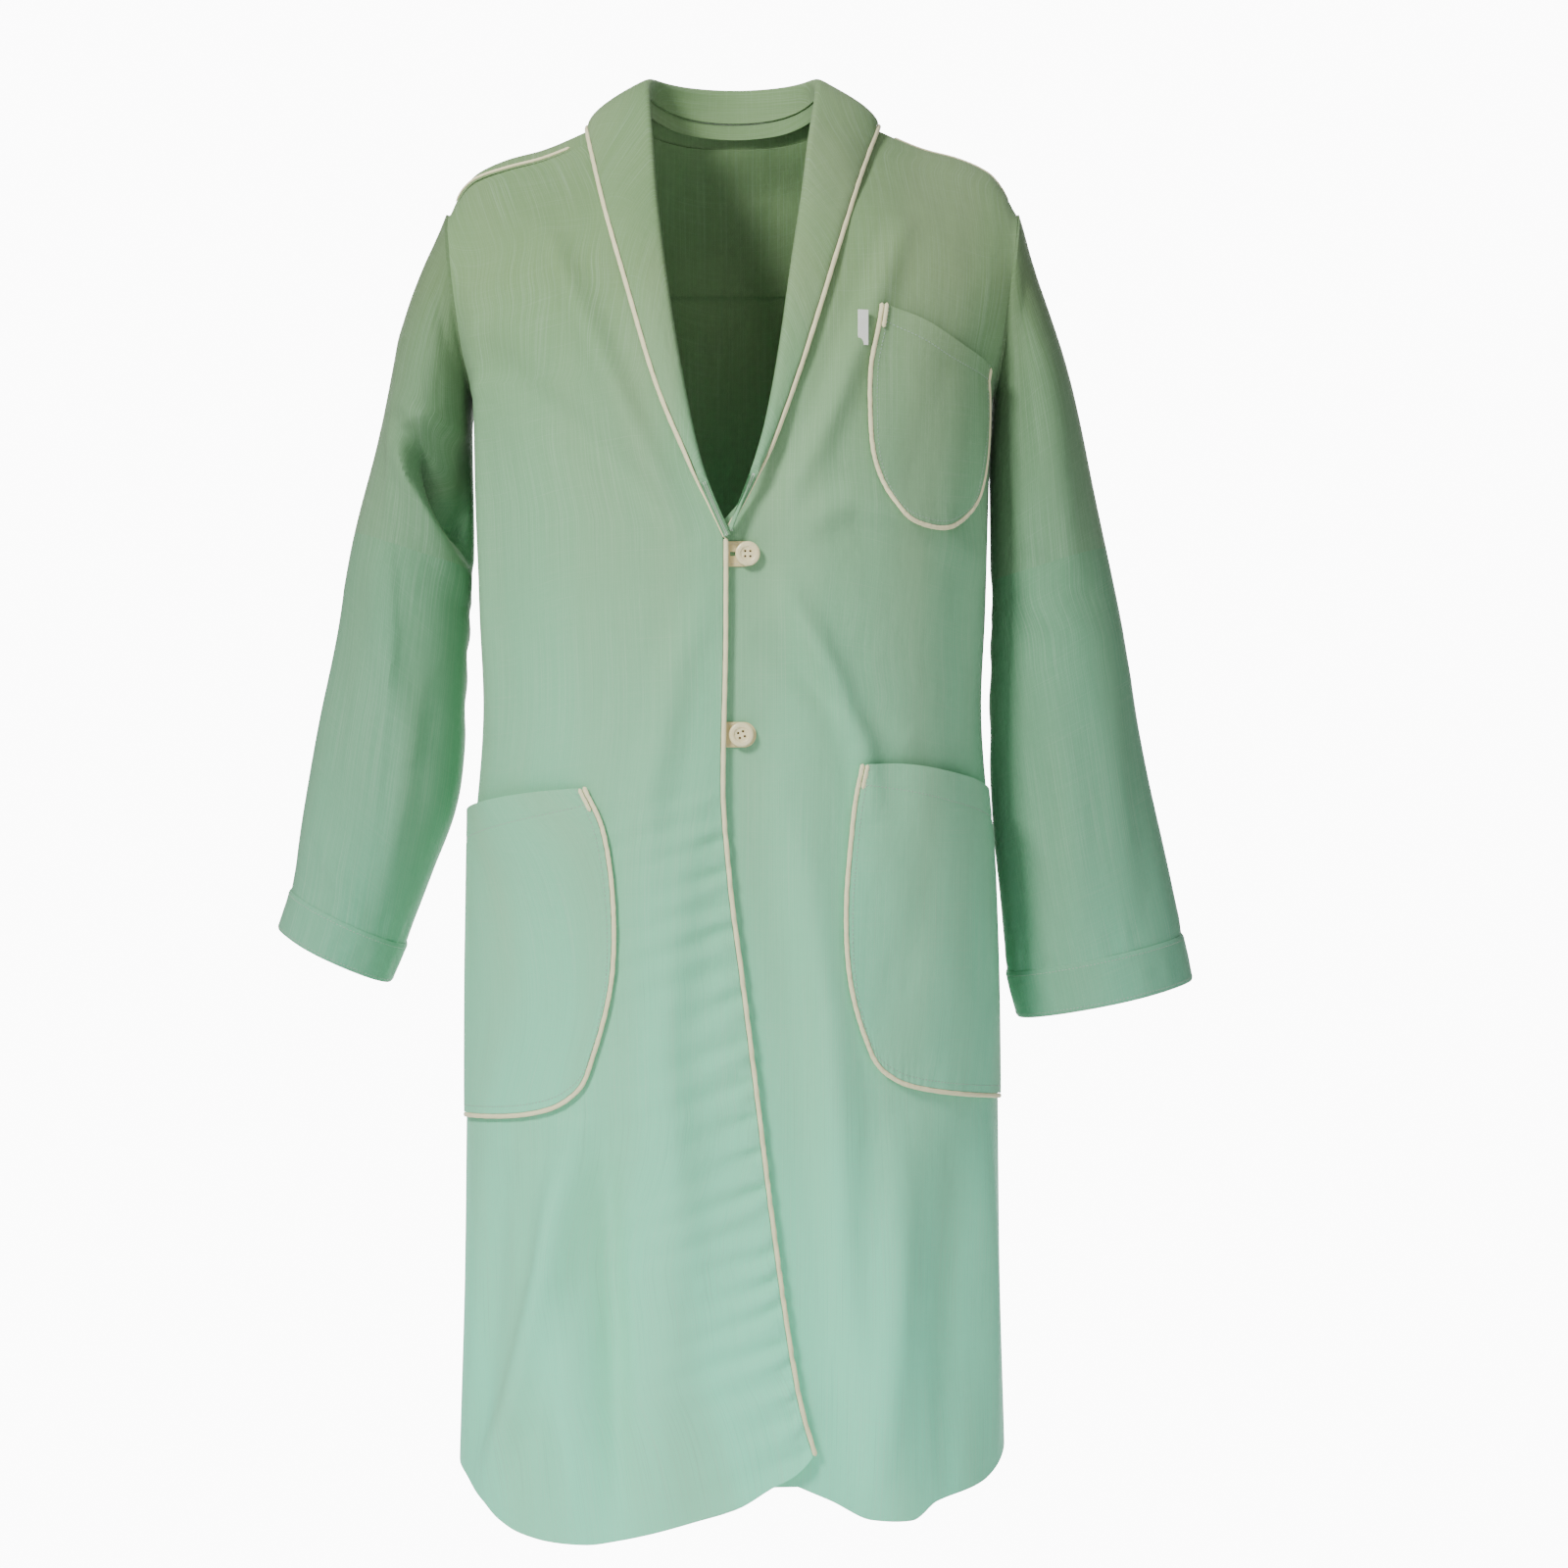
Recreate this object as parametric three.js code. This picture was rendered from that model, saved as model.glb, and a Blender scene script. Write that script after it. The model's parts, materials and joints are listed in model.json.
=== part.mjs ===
// A knee-length lab coat with a shawl collar, hanging open at the neck as it does on a wearer.
// Millimetres, +Z up, the front faces -Y and +X is the wearer's left.
// The origin is the centre of the neck opening, level with the shoulder-neck points.
import * as THREE from "three";

// ---------- driving dimensions ----------
const CLOTH = 1.2; // thickness of one panel
const GAP = 0.4; // clearance between touching pieces
const ROUNDNESS = 2.4; // exponent of the torso's oval section: 2 is an ellipse, more is squarer
const SHOULDER_FALL = 110; // height over which the body reaches its full depth below the shoulder ridge
const NECK_HALF = 75; // half width of the neck opening
const TIP = { x: 222, z: -86 }; // shoulder tip
const UNDERARM = { x: 203, z: -228 };
const ARMHOLE_HALF_DEPTH = 62;
const FOLD_TOP = { x: -15, z: -515 }; // the skirt's fold line runs from here
const FOLD_BOTTOM = { x: -110, z: -1080 }; // to here
const FOLD_GAP = 1.0; // clearance along the fold line
const UNDERLAP = 6.5; // depth of the left front behind the right one
const PIPING = { half_width: 1.85, half_thick: 1.2 };
const PIPED_EDGE = 2 * PIPING.half_width + GAP; // the cloth ends this far short of a piped front edge
const BUTTON = { radius: 9, thick: 2.6, hole: 0.75, hole_offset: 1.7 };
const BUTTONS = { upper: { x: 13.8, z: -364.5, turn: 0 }, lower: { x: 9.3, z: -495.4, turn: 20 } };
const TAB = { half_height: 9.2, reach: 20, root: 16, thick: 1.4, slit_half: 6, slit_wide: 1.6 };

const COLOURS = {
  cloth: new THREE.Color(0.3, 0.47, 0.36),
  piping: new THREE.Color(0.82, 0.75, 0.6),
  lining: new THREE.Color(0.75, 0.76, 0.72),
  button: new THREE.Color(0.9, 0.78, 0.56),
};

// ---------- curves ----------
// A smooth curve through [position, value] pairs, which never overshoots them.
function smooth(pairs) {
  const t = pairs.map((p) => p[0]);
  const v = pairs.map((p) => p[1]);
  const last = t.length - 1;
  const step = (i) => (v[i + 1] - v[i]) / (t[i + 1] - t[i]);
  const slope = t.map((_, i) => {
    if (i === 0) return step(0);
    if (i === last) return step(last - 1);
    const a = step(i - 1);
    const b = step(i);
    return a * b <= 0 ? 0 : (2 * a * b) / (a + b);
  });
  return (at) => {
    const x = Math.min(Math.max(at, t[0]), t[last]);
    let i = 0;
    while (i < last - 1 && x > t[i + 1]) i += 1;
    const h = t[i + 1] - t[i];
    const s = (x - t[i]) / h;
    const s2 = s * s;
    const s3 = s2 * s;
    return (
      (2 * s3 - 3 * s2 + 1) * v[i] +
      (s3 - 2 * s2 + s) * h * slope[i] +
      (3 * s2 - 2 * s3) * v[i + 1] +
      (s3 - s2) * h * slope[i + 1]
    );
  };
}

// A curve in several dimensions, evenly spaced in its list of points, from 0 to 1.
function through(points) {
  const size = points[0].length;
  const parts = Array.from({ length: size }, (_, k) =>
    smooth(points.map((p, i) => [i / (points.length - 1), p[k]])),
  );
  return (t) => parts.map((part) => part(t));
}

const lerp = (a, b, t) => a + (b - a) * t;
const ease = (t) => {
  const s = Math.min(Math.max(t, 0), 1);
  return s * s * (3 - 2 * s);
};
const add = (a, b, k = 1) => [a[0] + b[0] * k, a[1] + b[1] * k, a[2] + b[2] * k];
const minus = (a, b) => add(a, b, -1);
const length = (a) => Math.hypot(a[0], a[1], a[2]);
const unit = (a) => a.map((c) => c / (length(a) || 1));
const cross = (a, b) => [a[1] * b[2] - a[2] * b[1], a[2] * b[0] - a[0] * b[2], a[0] * b[1] - a[1] * b[0]];
const dot = (a, b) => a[0] * b[0] + a[1] * b[1] + a[2] * b[2];
// Points across and up a sheet: make(u, v) for u and v from 0 to 1.
const sheet = (columns, rows, make) =>
  Array.from({ length: rows + 1 }, (_, j) =>
    Array.from({ length: columns + 1 }, (_, i) => make(i / columns, j / rows)),
  );
const part_of = (grid, i0, i1, j0, j1) => grid.slice(j0, j1 + 1).map((row) => row.slice(i0, i1 + 1));

// ---------- closed bodies ----------
const group = new THREE.Group();

// Adds a named mesh, turned the right way out.
function add_mesh(name, points, triangles, colour, roughness = 0.85) {
  let volume = 0;
  triangles.forEach(([a, b, c]) => {
    volume += dot(points[a], cross(points[b], points[c]));
  });
  const order = volume < 0 ? triangles.map(([a, b, c]) => [a, c, b]) : triangles;
  const geometry = new THREE.BufferGeometry();
  geometry.setAttribute("position", new THREE.Float32BufferAttribute(points.flat(), 3));
  geometry.setIndex(order.flat());
  geometry.computeVertexNormals();
  const material = new THREE.MeshStandardMaterial({ color: colour, roughness, metalness: 0 });
  const mesh = new THREE.Mesh(geometry, material);
  mesh.name = name;
  group.add(mesh);
  return mesh;
}

// The outward normals of a sheet: away from centre(point).
function normals_of(grid, centre) {
  const rows = grid.length - 1;
  const columns = grid[0].length - 1;
  let sense = 0;
  const normals = grid.map((row, j) =>
    row.map((p, i) => {
      const across = minus(row[Math.min(i + 1, columns)], row[Math.max(i - 1, 0)]);
      const up = minus(grid[Math.min(j + 1, rows)][i], grid[Math.max(j - 1, 0)][i]);
      const n = unit(cross(across, up));
      sense += dot(n, minus(p, centre(p)));
      return n;
    }),
  );
  return sense < 0 ? normals.map((row) => row.map((n) => n.map((c) => -c))) : normals;
}

const body_axis = (p) => [0, 0, p[2]];

// Moves a sheet out along its normals by amount(u, v).
function lifted(grid, amount, centre = body_axis) {
  const normals = normals_of(grid, centre);
  const rows = grid.length - 1;
  const columns = grid[0].length - 1;
  return grid.map((row, j) => row.map((p, i) => add(p, normals[j][i], amount(i / columns, j / rows))));
}

// A closed layer of a sheet, from inner to outer millimetres along its normals.
// keep, if given, moves a point back to its own side of a seam.
function layer(name, grid, inner, outer, colour, { centre = body_axis, keep, closed = false, normals } = {}) {
  const n = normals ?? normals_of(grid, centre);
  const rows = grid.length;
  const columns = grid[0].length;
  const hold = keep ?? ((p) => p);
  const outside = grid.flatMap((row, j) => row.map((p, i) => hold(add(p, n[j][i], outer))));
  const inside = grid.flatMap((row, j) => row.map((p, i) => hold(add(p, n[j][i], inner))));
  const points = [...outside, ...inside];
  const half = rows * columns;
  const at = (j, i) => j * columns + (closed ? i % columns : i);
  const spans = closed ? columns : columns - 1;
  const triangles = [];
  const quad = (a, b, c, d) => triangles.push([a, b, c], [a, c, d]);
  for (let j = 0; j < rows - 1; j += 1) {
    for (let i = 0; i < spans; i += 1) {
      quad(at(j, i), at(j, i + 1), at(j + 1, i + 1), at(j + 1, i));
      quad(half + at(j, i), half + at(j + 1, i), half + at(j + 1, i + 1), half + at(j, i + 1));
    }
    if (!closed) {
      quad(at(j, 0), at(j + 1, 0), half + at(j + 1, 0), half + at(j, 0));
      const e = columns - 1;
      quad(at(j, e), half + at(j, e), half + at(j + 1, e), at(j + 1, e));
    }
  }
  for (let i = 0; i < spans; i += 1) {
    quad(at(0, i), half + at(0, i), half + at(0, i + 1), at(0, i + 1));
    const e = rows - 1;
    quad(at(e, i), at(e, i + 1), half + at(e, i + 1), half + at(e, i));
  }
  return add_mesh(name, points, triangles, colour);
}

// A piping cord: an oval section carried along stations of [centre, sideways, outwards].
function piping(name, stations, sides = 8) {
  const points = stations.flatMap(([centre, sideways, outwards]) =>
    Array.from({ length: sides }, (_, k) => {
      const a = (2 * Math.PI * k) / sides;
      const p = add(centre, sideways, PIPING.half_width * Math.cos(a));
      return add(p, outwards, PIPING.half_thick * Math.sin(a));
    }),
  );
  const triangles = [];
  const last = stations.length - 1;
  for (let j = 0; j < last; j += 1) {
    for (let k = 0; k < sides; k += 1) {
      const a = j * sides + k;
      const b = j * sides + ((k + 1) % sides);
      triangles.push([a, b, b + sides], [a, b + sides, a + sides]);
    }
  }
  for (let k = 1; k < sides - 1; k += 1) {
    triangles.push([0, k + 1, k], [last * sides, last * sides + k, last * sides + k + 1]);
  }
  return add_mesh(name, points, triangles, COLOURS.piping);
}

// ---------- the torso's surface ----------
// Half width, and front and back depth, by height.
const half_width = smooth([
  [-1100, 213], [-1050, 212], [-900, 208], [-700, 206], [-600, 203], [-470, 194], [-400, 197],
  [-300, 200], [-228, 203], [-180, 222], [-140, 232], [60, 232],
]);
const front_depth = smooth([
  [-1100, 186], [-1000, 178], [-800, 172], [-600, 168], [-450, 165], [-350, 162], [-250, 152],
  [-200, 140], [-150, 122], [-100, 100], [-50, 70], [0, 55], [60, 50],
]);
const back_depth = smooth([
  [-1100, 160], [-900, 150], [-700, 140], [-500, 128], [-400, 130], [-300, 138], [-180, 135],
  [-100, 118], [-50, 95], [0, 60], [60, 55],
]);
// Height of the shoulder ridge by distance from the middle; inside the neck it is the neck's own column.
const ridge = smooth([
  [0, 110], [40, 63], [60, 34], [70, 15], [NECK_HALF, 0], [112, -17], [150, -33], [176, -40],
  [200, -51], [210, -62], [TIP.x, TIP.z], [240, -120],
]);
const angle_of = (x, z) => {
  const k = Math.min(Math.abs(x) / half_width(z), 1);
  return Math.sign(x) * Math.asin(k ** (ROUNDNESS / 2));
};
const drop_at = (x, z) => {
  const below = Math.min(Math.max((ridge(Math.abs(x)) - z) / SHOULDER_FALL, 0), 1);
  return (1 - (1 - below) ** 2) ** 0.75;
};
// A point of the torso by its angle round the section, 0 at the middle and 90 degrees at the side.
function torso(angle, z, depth) {
  const s = Math.abs(Math.sin(angle)) ** (2 / ROUNDNESS);
  const c = Math.max(Math.cos(angle), 0) ** (2 / ROUNDNESS);
  const x = Math.sign(angle) * half_width(z) * s;
  return [x, depth(z) * c * drop_at(x, z), z];
}
const on_front = (x, z) => {
  const [px, depth] = torso(angle_of(x, z), z, front_depth);
  return [px, -depth, z];
};

// The armhole, turn 0 at the tip and 1 at the underarm; y is the distance forwards or backwards.
function armhole(turn) {
  const t = (1 - Math.cos(Math.PI * turn)) / 2;
  return {
    x: lerp(TIP.x, UNDERARM.x, t),
    y: ARMHOLE_HALF_DEPTH * Math.sin(Math.PI * turn),
    z: lerp(TIP.z, UNDERARM.z, t),
  };
}
const ARMHOLE_FROM = 0.72; // the row at the underarm, as a share of a panel's rows
const armhole_turn = (v) => 1 - (v - ARMHOLE_FROM) / (1 - ARMHOLE_FROM);

// Height where the right shoulder seam lies, a little in front of the ridge; the left one is on it.
const right_seam_depth = smooth([[NECK_HALF, 16], [112, 20], [170, 17], [200, 11], [TIP.x, 0]]);
function seam_height(x, side) {
  const top = ridge(Math.abs(x));
  if (side > 0) return top;
  const full = torso(angle_of(Math.abs(x), top), -1000, () => 1)[1] * front_depth(top);
  const drop = Math.min(right_seam_depth(Math.abs(x)) / Math.max(full, 1), 1);
  return top - SHOULDER_FALL * (1 - Math.sqrt(1 - drop ** (4 / 3)));
}

// One front: across from its front edge to the side seam or armhole, up from hem to shoulder.
// side is -1 for the wearer's right; edge(z) gives the front edge's distance from the middle.
function front_grid(side, { columns, rows, bottom, edge, edge_heights, side_heights, hem, inset }) {
  return sheet(columns, rows, (u, v) => {
    const low = edge_heights(v);
    const turn = armhole_turn(v);
    const flank = side_heights(v);
    const arm = v > ARMHOLE_FROM ? armhole(turn) : { x: half_width(flank), y: 0, z: flank };
    const from = angle_of(edge(low), low);
    const to = angle_of(arm.x, arm.z);
    const angle = lerp(from, to, u);
    let z = lerp(low, arm.z, u);
    const guess = torso(angle, z, front_depth);
    const hem_row = lerp(bottom, side_heights(0), u);
    z += (hem(guess[0]) - hem_row) * Math.max(0, 1 - v / 0.35) ** 2;
    const seam_row = lerp(0, TIP.z, u);
    z += (seam_height(guess[0], side) - seam_row) * ease((v - 0.8) / 0.2) ** 2;
    const p = torso(angle, z, front_depth);
    const full = torso(to, arm.z, front_depth)[1];
    const depth = p[1] + (arm.y - full) * u ** 6 - inset(p[0], z);
    return [side * p[0], -Math.max(depth, 0) - GAP, z];
  });
}

const front_side_heights = smooth([
  [0, -1051], [0.3, -730], [0.55, -455], [0.66, -300], [ARMHOLE_FROM, -228],
]);
const front_keep = (p) => [p[0], Math.min(p[1], -GAP), p[2]];

// ---------- right front, its folding skirt corner, and left front ----------
const fold_x = (z) => lerp(FOLD_TOP.x, FOLD_BOTTOM.x, (z - FOLD_TOP.z) / (FOLD_BOTTOM.z - FOLD_TOP.z));
const front_edge_x = smooth([
  [-1010, 65], [-955, 52], [-848, 35], [-742, 21], [-672, 12], [-602, 3], [-531, -2], [-411, 0], [-354, 0],
]);
const right_roll = smooth([
  [-354, PIPED_EDGE], [-302, 25], [-265, 34], [-224, 41], [-140, 54], [-84, 60], [-47, 64], [-16, 67],
  [0, NECK_HALF],
]);
const left_roll = smooth([
  [-1040, -15], [-740, 10], [-500, 30], [-400, 30], [-354, 14], [-320, -12], [-280, -29], [-218, -41],
  [-141, -54], [-68, -65], [-29, -71], [0, -NECK_HALF - 4],
]);
const right_edge = (z) => {
  if (z < FOLD_TOP.z) return -fold_x(z) + FOLD_GAP / 2;
  return z < -354 ? -front_edge_x(z) + PIPED_EDGE : right_roll(z);
};
const none = () => 0;
const FRONT_ROWS = 22;
const FOLD_ROW = 12 / FRONT_ROWS; // the last row that ends on the fold line
const right_front = front_grid(-1, {
  columns: 10,
  rows: FRONT_ROWS,
  bottom: FOLD_BOTTOM.z,
  edge: right_edge,
  edge_heights: smooth([
    [0, FOLD_BOTTOM.z], [0.3, -770], [FOLD_ROW, FOLD_TOP.z - 1], [FOLD_ROW + 1 / FRONT_ROWS, FOLD_TOP.z],
    [0.66, -354], [0.8, -180], [0.92, -50], [1, 0],
  ]),
  side_heights: front_side_heights,
  hem: smooth([
    [100, -1080], [130, -1079], [151, -1077], [169, -1071], [186, -1060], [203, -1051], [212, -1050],
  ]),
  inset: none,
});
const left_front = front_grid(1, {
  columns: 12,
  rows: FRONT_ROWS,
  bottom: -1036,
  edge: (z) => -left_roll(z),
  edge_heights: smooth([
    [0, -1036], [0.3, -750], [0.55, -500], [0.66, -354], [0.8, -180], [0.92, -50], [1, 0],
  ]),
  side_heights: smooth([[0, -1040], [0.3, -730], [0.55, -455], [0.66, -300], [ARMHOLE_FROM, -228]]),
  hem: smooth([
    [50, -1036], [74, -1047], [103, -1062], [133, -1065], [153, -1055], [189, -1051], [212, -1040],
  ]),
  inset: (x, z) => UNDERLAP * ease((front_edge_x(z) + 72 - x) / 50) * ease((-235 - z) / 65),
});
const flap = sheet(6, 11, (u, v) => {
  const top = FOLD_TOP.z - 2;
  const corner = -1009;
  const z0 = lerp(FOLD_BOTTOM.z, top, v);
  const z1 = lerp(corner, top, v);
  const x0 = fold_x(z0) + FOLD_GAP / 2;
  const x1 = front_edge_x(z1) - PIPED_EDGE;
  const x = lerp(x0, x1, u);
  const hem = smooth([
    [-110, -1080], [-77, -1073], [-23, -1058], [7, -1049], [31, -1035], [48, -1026], [65, -1009],
  ]);
  const z = lerp(z0, z1, u) + (hem(x) - lerp(FOLD_BOTTOM.z, corner, u)) * Math.max(0, 1 - v / 0.4) ** 2;
  return add(on_front(x, z), [0, -GAP, 0]);
});

// The doubled front: panel, interfacing and facing are layers of one sheet, from the outside in.
const LAYERS = { panel: [-CLOTH, 0], interfacing: [-2.0, -1.5], facing: [-3.1, -2.3] };
const doubled = (prefix, grid, facing_grid, from, options) => {
  const all = normals_of(grid, body_axis);
  const { i0, i1, j0, j1 } = facing_grid;
  const cut = part_of(grid, i0, i1, j0, j1);
  const normals = part_of(all, i0, i1, j0, j1);
  layer(from.panel, grid, ...LAYERS.panel, COLOURS.cloth, { ...options, normals: all });
  layer(`${prefix}_interfacing`, cut, ...LAYERS.interfacing, COLOURS.lining, { ...options, normals });
  layer(`${prefix}_facing`, cut, ...LAYERS.facing, COLOURS.cloth, { ...options, normals });
};
const right_rows = { i0: 0, i1: 3, j0: 13, j1: 21 };
doubled("right_front", right_front, right_rows, { panel: "right_front_panel" }, { keep: front_keep });
doubled("left_front", left_front, { i0: 0, i1: 3, j0: 0, j1: 21 }, { panel: "left_front_panel" }, {
  keep: front_keep,
});
doubled("right_skirt", flap, { i0: 2, i1: 6, j0: 0, j1: 11 }, { panel: "right_skirt_flap" }, {});

// ---------- back ----------
// Across from the wearer's right side seam to the left, up from hem to neck and shoulders.
const BACK_ROWS = 24;
const OVER_SHOULDER = 1 - 1 / BACK_ROWS; // the row on the ridge; the last row lies over it, at the right seam
const back = sheet(18, BACK_ROWS, (u, v) => {
  const side = u < 0.5 ? -1 : 1;
  const t = Math.abs(2 * u - 1);
  const row = Math.min(v / OVER_SHOULDER, 1);
  const heights = smooth([[0, -1050], [0.3, -730], [0.55, -455], [0.66, -300], [ARMHOLE_FROM, -228]]);
  const middle = smooth([
    [0, -1052], [0.3, -730], [0.55, -455], [0.66, -330], [0.8, -190], [0.92, -60], [1, -4],
  ]);
  const arm = row > ARMHOLE_FROM
    ? armhole(armhole_turn(row))
    : { x: half_width(heights(row)), y: 0, z: heights(row) };
  const to = angle_of(arm.x, arm.z);
  const angle = t * to;
  let z = lerp(middle(row), arm.z, t * t);
  const guess = torso(angle, z, back_depth);
  const top = guess[0] < NECK_HALF ? lerp(-4, 0, (guess[0] / NECK_HALF) ** 2) : ridge(guess[0]);
  z += (top - lerp(-4, TIP.z, t * t)) * ease((row - 0.75) / 0.25) ** 2;
  const p = torso(angle, z, back_depth);
  const full = torso(to, arm.z, back_depth)[1];
  const y = Math.max(p[1] + (arm.y - full) * t ** 6, 0) + GAP;
  if (v > OVER_SHOULDER + 0.001 && side < 0 && p[0] > NECK_HALF - 1) {
    const over = seam_height(p[0], -1);
    return [-p[0], -Math.max(right_seam_depth(p[0]) - 1.2, 0) + GAP, over + 1.2];
  }
  const settle = v > OVER_SHOULDER + 0.001 ? 1 : 0;
  return [side * p[0], Math.max(y - settle * 0.2, GAP), z + settle * 0.4];
});
const behind_seam = (p) => {
  const right_flange = p[0] < 0 && p[1] < 0;
  return right_flange ? p : [p[0], Math.max(p[1], GAP), p[2]];
};
layer("back_panel", back, -CLOTH, 0, COLOURS.cloth, { keep: behind_seam });

// A facing inside the back of the neck.
const neck_rows = { low: BACK_ROWS - 4, high: BACK_ROWS - 1 };
const neck_normals = part_of(normals_of(back, body_axis), 6, 12, neck_rows.low, neck_rows.high);
layer("back_neck_facing", part_of(back, 6, 12, neck_rows.low, neck_rows.high), -2.8, -1.9, COLOURS.cloth, {
  normals: neck_normals,
  keep: behind_seam,
});

// ---------- shawl collar ----------
// Rows from the neck seam, up the stand, over the fold and down the fall to the outer edge.
const COLLAR_HALF = 13; // columns from the front tip to the middle of the back
const FALL_LIFT = 3.4; // how far the outer edge stands off the coat
// Outside the torso by at least lift, moving away from a point inside the shoulder.
function clear_of_torso(p, lift) {
  const heart = [Math.sign(p[0]) * Math.min(Math.abs(p[0]), 60), 0, p[2] - 70];
  let q = p;
  for (let k = 0; k < 60; k += 1) {
    const [x, y, z] = q;
    const depth = torso(angle_of(x, z), z, y < 0 ? front_depth : back_depth)[1];
    if (Math.abs(y) > depth + lift || z > ridge(Math.abs(x)) + lift) return q;
    q = add(q, unit(minus(q, heart)), 1);
  }
  return q;
}
// One half's outline, from the front tip to the middle of the back; side is -1 for the wearer's right.
function collar_half(side) {
  const roll_front = side < 0
    ? [[-2, -345], [-22, -302], [-39, -224], [-52, -140], [-59, -84], [-63, -40]]
    : [[4, -338], [27, -280], [39, -218], [49, -141], [57, -84], [62, -35]];
  const edge_front = side < 0
    ? [[-3, -354], [-24, -308], [-51, -250], [-73, -176], [-95, -100], [-107, -52]]
    : [[3, -347], [30, -290], [53, -229], [75, -155], [95, -83], [107, -42]];
  const lift = side < 0 ? 5.5 : 4.5;
  const roll = through([
    ...roll_front.map(([x, z]) => add(on_front(x, z), [0, -lift, 0])),
    [side * 67, -14, 14], [side * 62, 22, 30], [side * 38, 54, 33], [0, 66, 34],
  ]);
  const fall = through([
    ...edge_front.map(([x, z]) => add(on_front(x - side * 3, z + 1.5), [0, -FALL_LIFT, 0])),
    [side * 114, -2, -10], [side * 98, 44, -22], [side * 58, 76, -26], [0, 88, -27],
  ]);
  const seam = through([
    ...roll_front.map(([x, z]) => add(on_front(x, z), [-side * 0.6, -lift + 2.6, 0])),
    [side * 68, -12, 6], [side * 63, 24, 8], [side * 40, 50, 3], [0, 60, 1],
  ]);
  return { roll, fall, seam };
}
const halves = { right: collar_half(-1), left: collar_half(1) };
const COLLAR_STEPS = [-1, -0.5, -0.12, 0, 0.12, 0.36, 0.68, 1];
const collar = COLLAR_STEPS.map((s) =>
  Array.from({ length: 2 * COLLAR_HALF + 1 }, (_, i) => {
    const half = i <= COLLAR_HALF ? halves.right : halves.left;
    const t = i <= COLLAR_HALF ? i / COLLAR_HALF : 2 - i / COLLAR_HALF;
    const roll = half.roll(t);
    const other = s < 0 ? half.seam(t) : half.fall(t);
    const k = Math.abs(s);
    const reach = length(minus(other, roll));
    const flat = add(roll, minus(other, roll), k);
    // The fall bows outwards a little, and near the fold the two sides meet in a round.
    const rise = s > 0 ? Math.min(reach * 0.09, 5) * Math.sin(Math.PI * k) : 0;
    const out = unit([roll[0], roll[1] * 0.8, t > 0.55 ? 25 : 8]);
    const bowed = add(flat, out, rise);
    return s > 0.05 ? clear_of_torso(bowed, lerp(5.6, 4, k)) : bowed;
  }),
);
const collar_centre = (p) => [p[0] * 0.93, p[1] * 0.9, p[2] - 6];
const collar_normals = normals_of(collar, collar_centre);
const collar_layer = (name, inner, outer, colour) =>
  layer(name, collar, inner, outer, colour, { normals: collar_normals });
collar_layer("under_collar", 0, 0.7, COLOURS.cloth);
collar_layer("collar_interfacing", 1.0, 1.4, COLOURS.lining);
collar_layer("upper_collar", 1.8, 2.6, COLOURS.cloth);

// ---------- sleeves ----------
// Each ring is [outer x, outer z, inner x, inner z, half depth], from the armhole to the wrist.
const SLEEVES = {
  right: {
    side: -1,
    rings: [
      [223.6, -85, 204.6, -229.5, 62], [262, -188, 206.5, -262, 70], [284, -288, 206, -330, 68],
      [306, -385, 207, -406, 65], [328, -508, 217, -532, 61], [339, -566, 237, -600, 58],
      [346, -613, 257, -656, 55], [355, -644, 269, -686, 54],
    ],
  },
  left: {
    side: 1,
    rings: [
      [223.6, -85, 204.6, -229.5, 62], [258, -196, 206, -262, 70], [281, -300, 206, -335, 69],
      [303, -398, 207, -418, 68], [329, -540, 209, -560, 68], [340, -596, 212, -622, 68],
      [351, -648, 216, -677, 68], [358, -684, 224, -713, 68],
    ],
  },
};
const ROUND = 18; // points round a sleeve
const ELBOW_RING = 3;
const SEAM_RING = 6;
const SLEEVE_GAP = 0.004; // share of a ring's spacing left open where two lengths meet
function sleeve_grid({ side, rings }, from, to, rows, spread = 0) {
  const at = rings[0].map((_, k) => smooth(rings.map((ring, i) => [i, ring[k]])));
  return Array.from({ length: rows + 1 }, (_, j) => {
    const t = lerp(from + (from > 0 ? SLEEVE_GAP : 0), to - SLEEVE_GAP, j / rows);
    const [ox, oz, ix, iz, depth] = at.map((curve) => curve(t));
    return Array.from({ length: ROUND }, (__, k) => {
      const a = (2 * Math.PI * k) / ROUND;
      const c = Math.cos(a) * (1 + spread / 50);
      const x = (ox + ix) / 2 + ((ox - ix) / 2) * c;
      const z = (oz + iz) / 2 + ((oz - iz) / 2) * c;
      return [side * x, -(depth + spread) * Math.sin(a), z];
    });
  });
}
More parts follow.
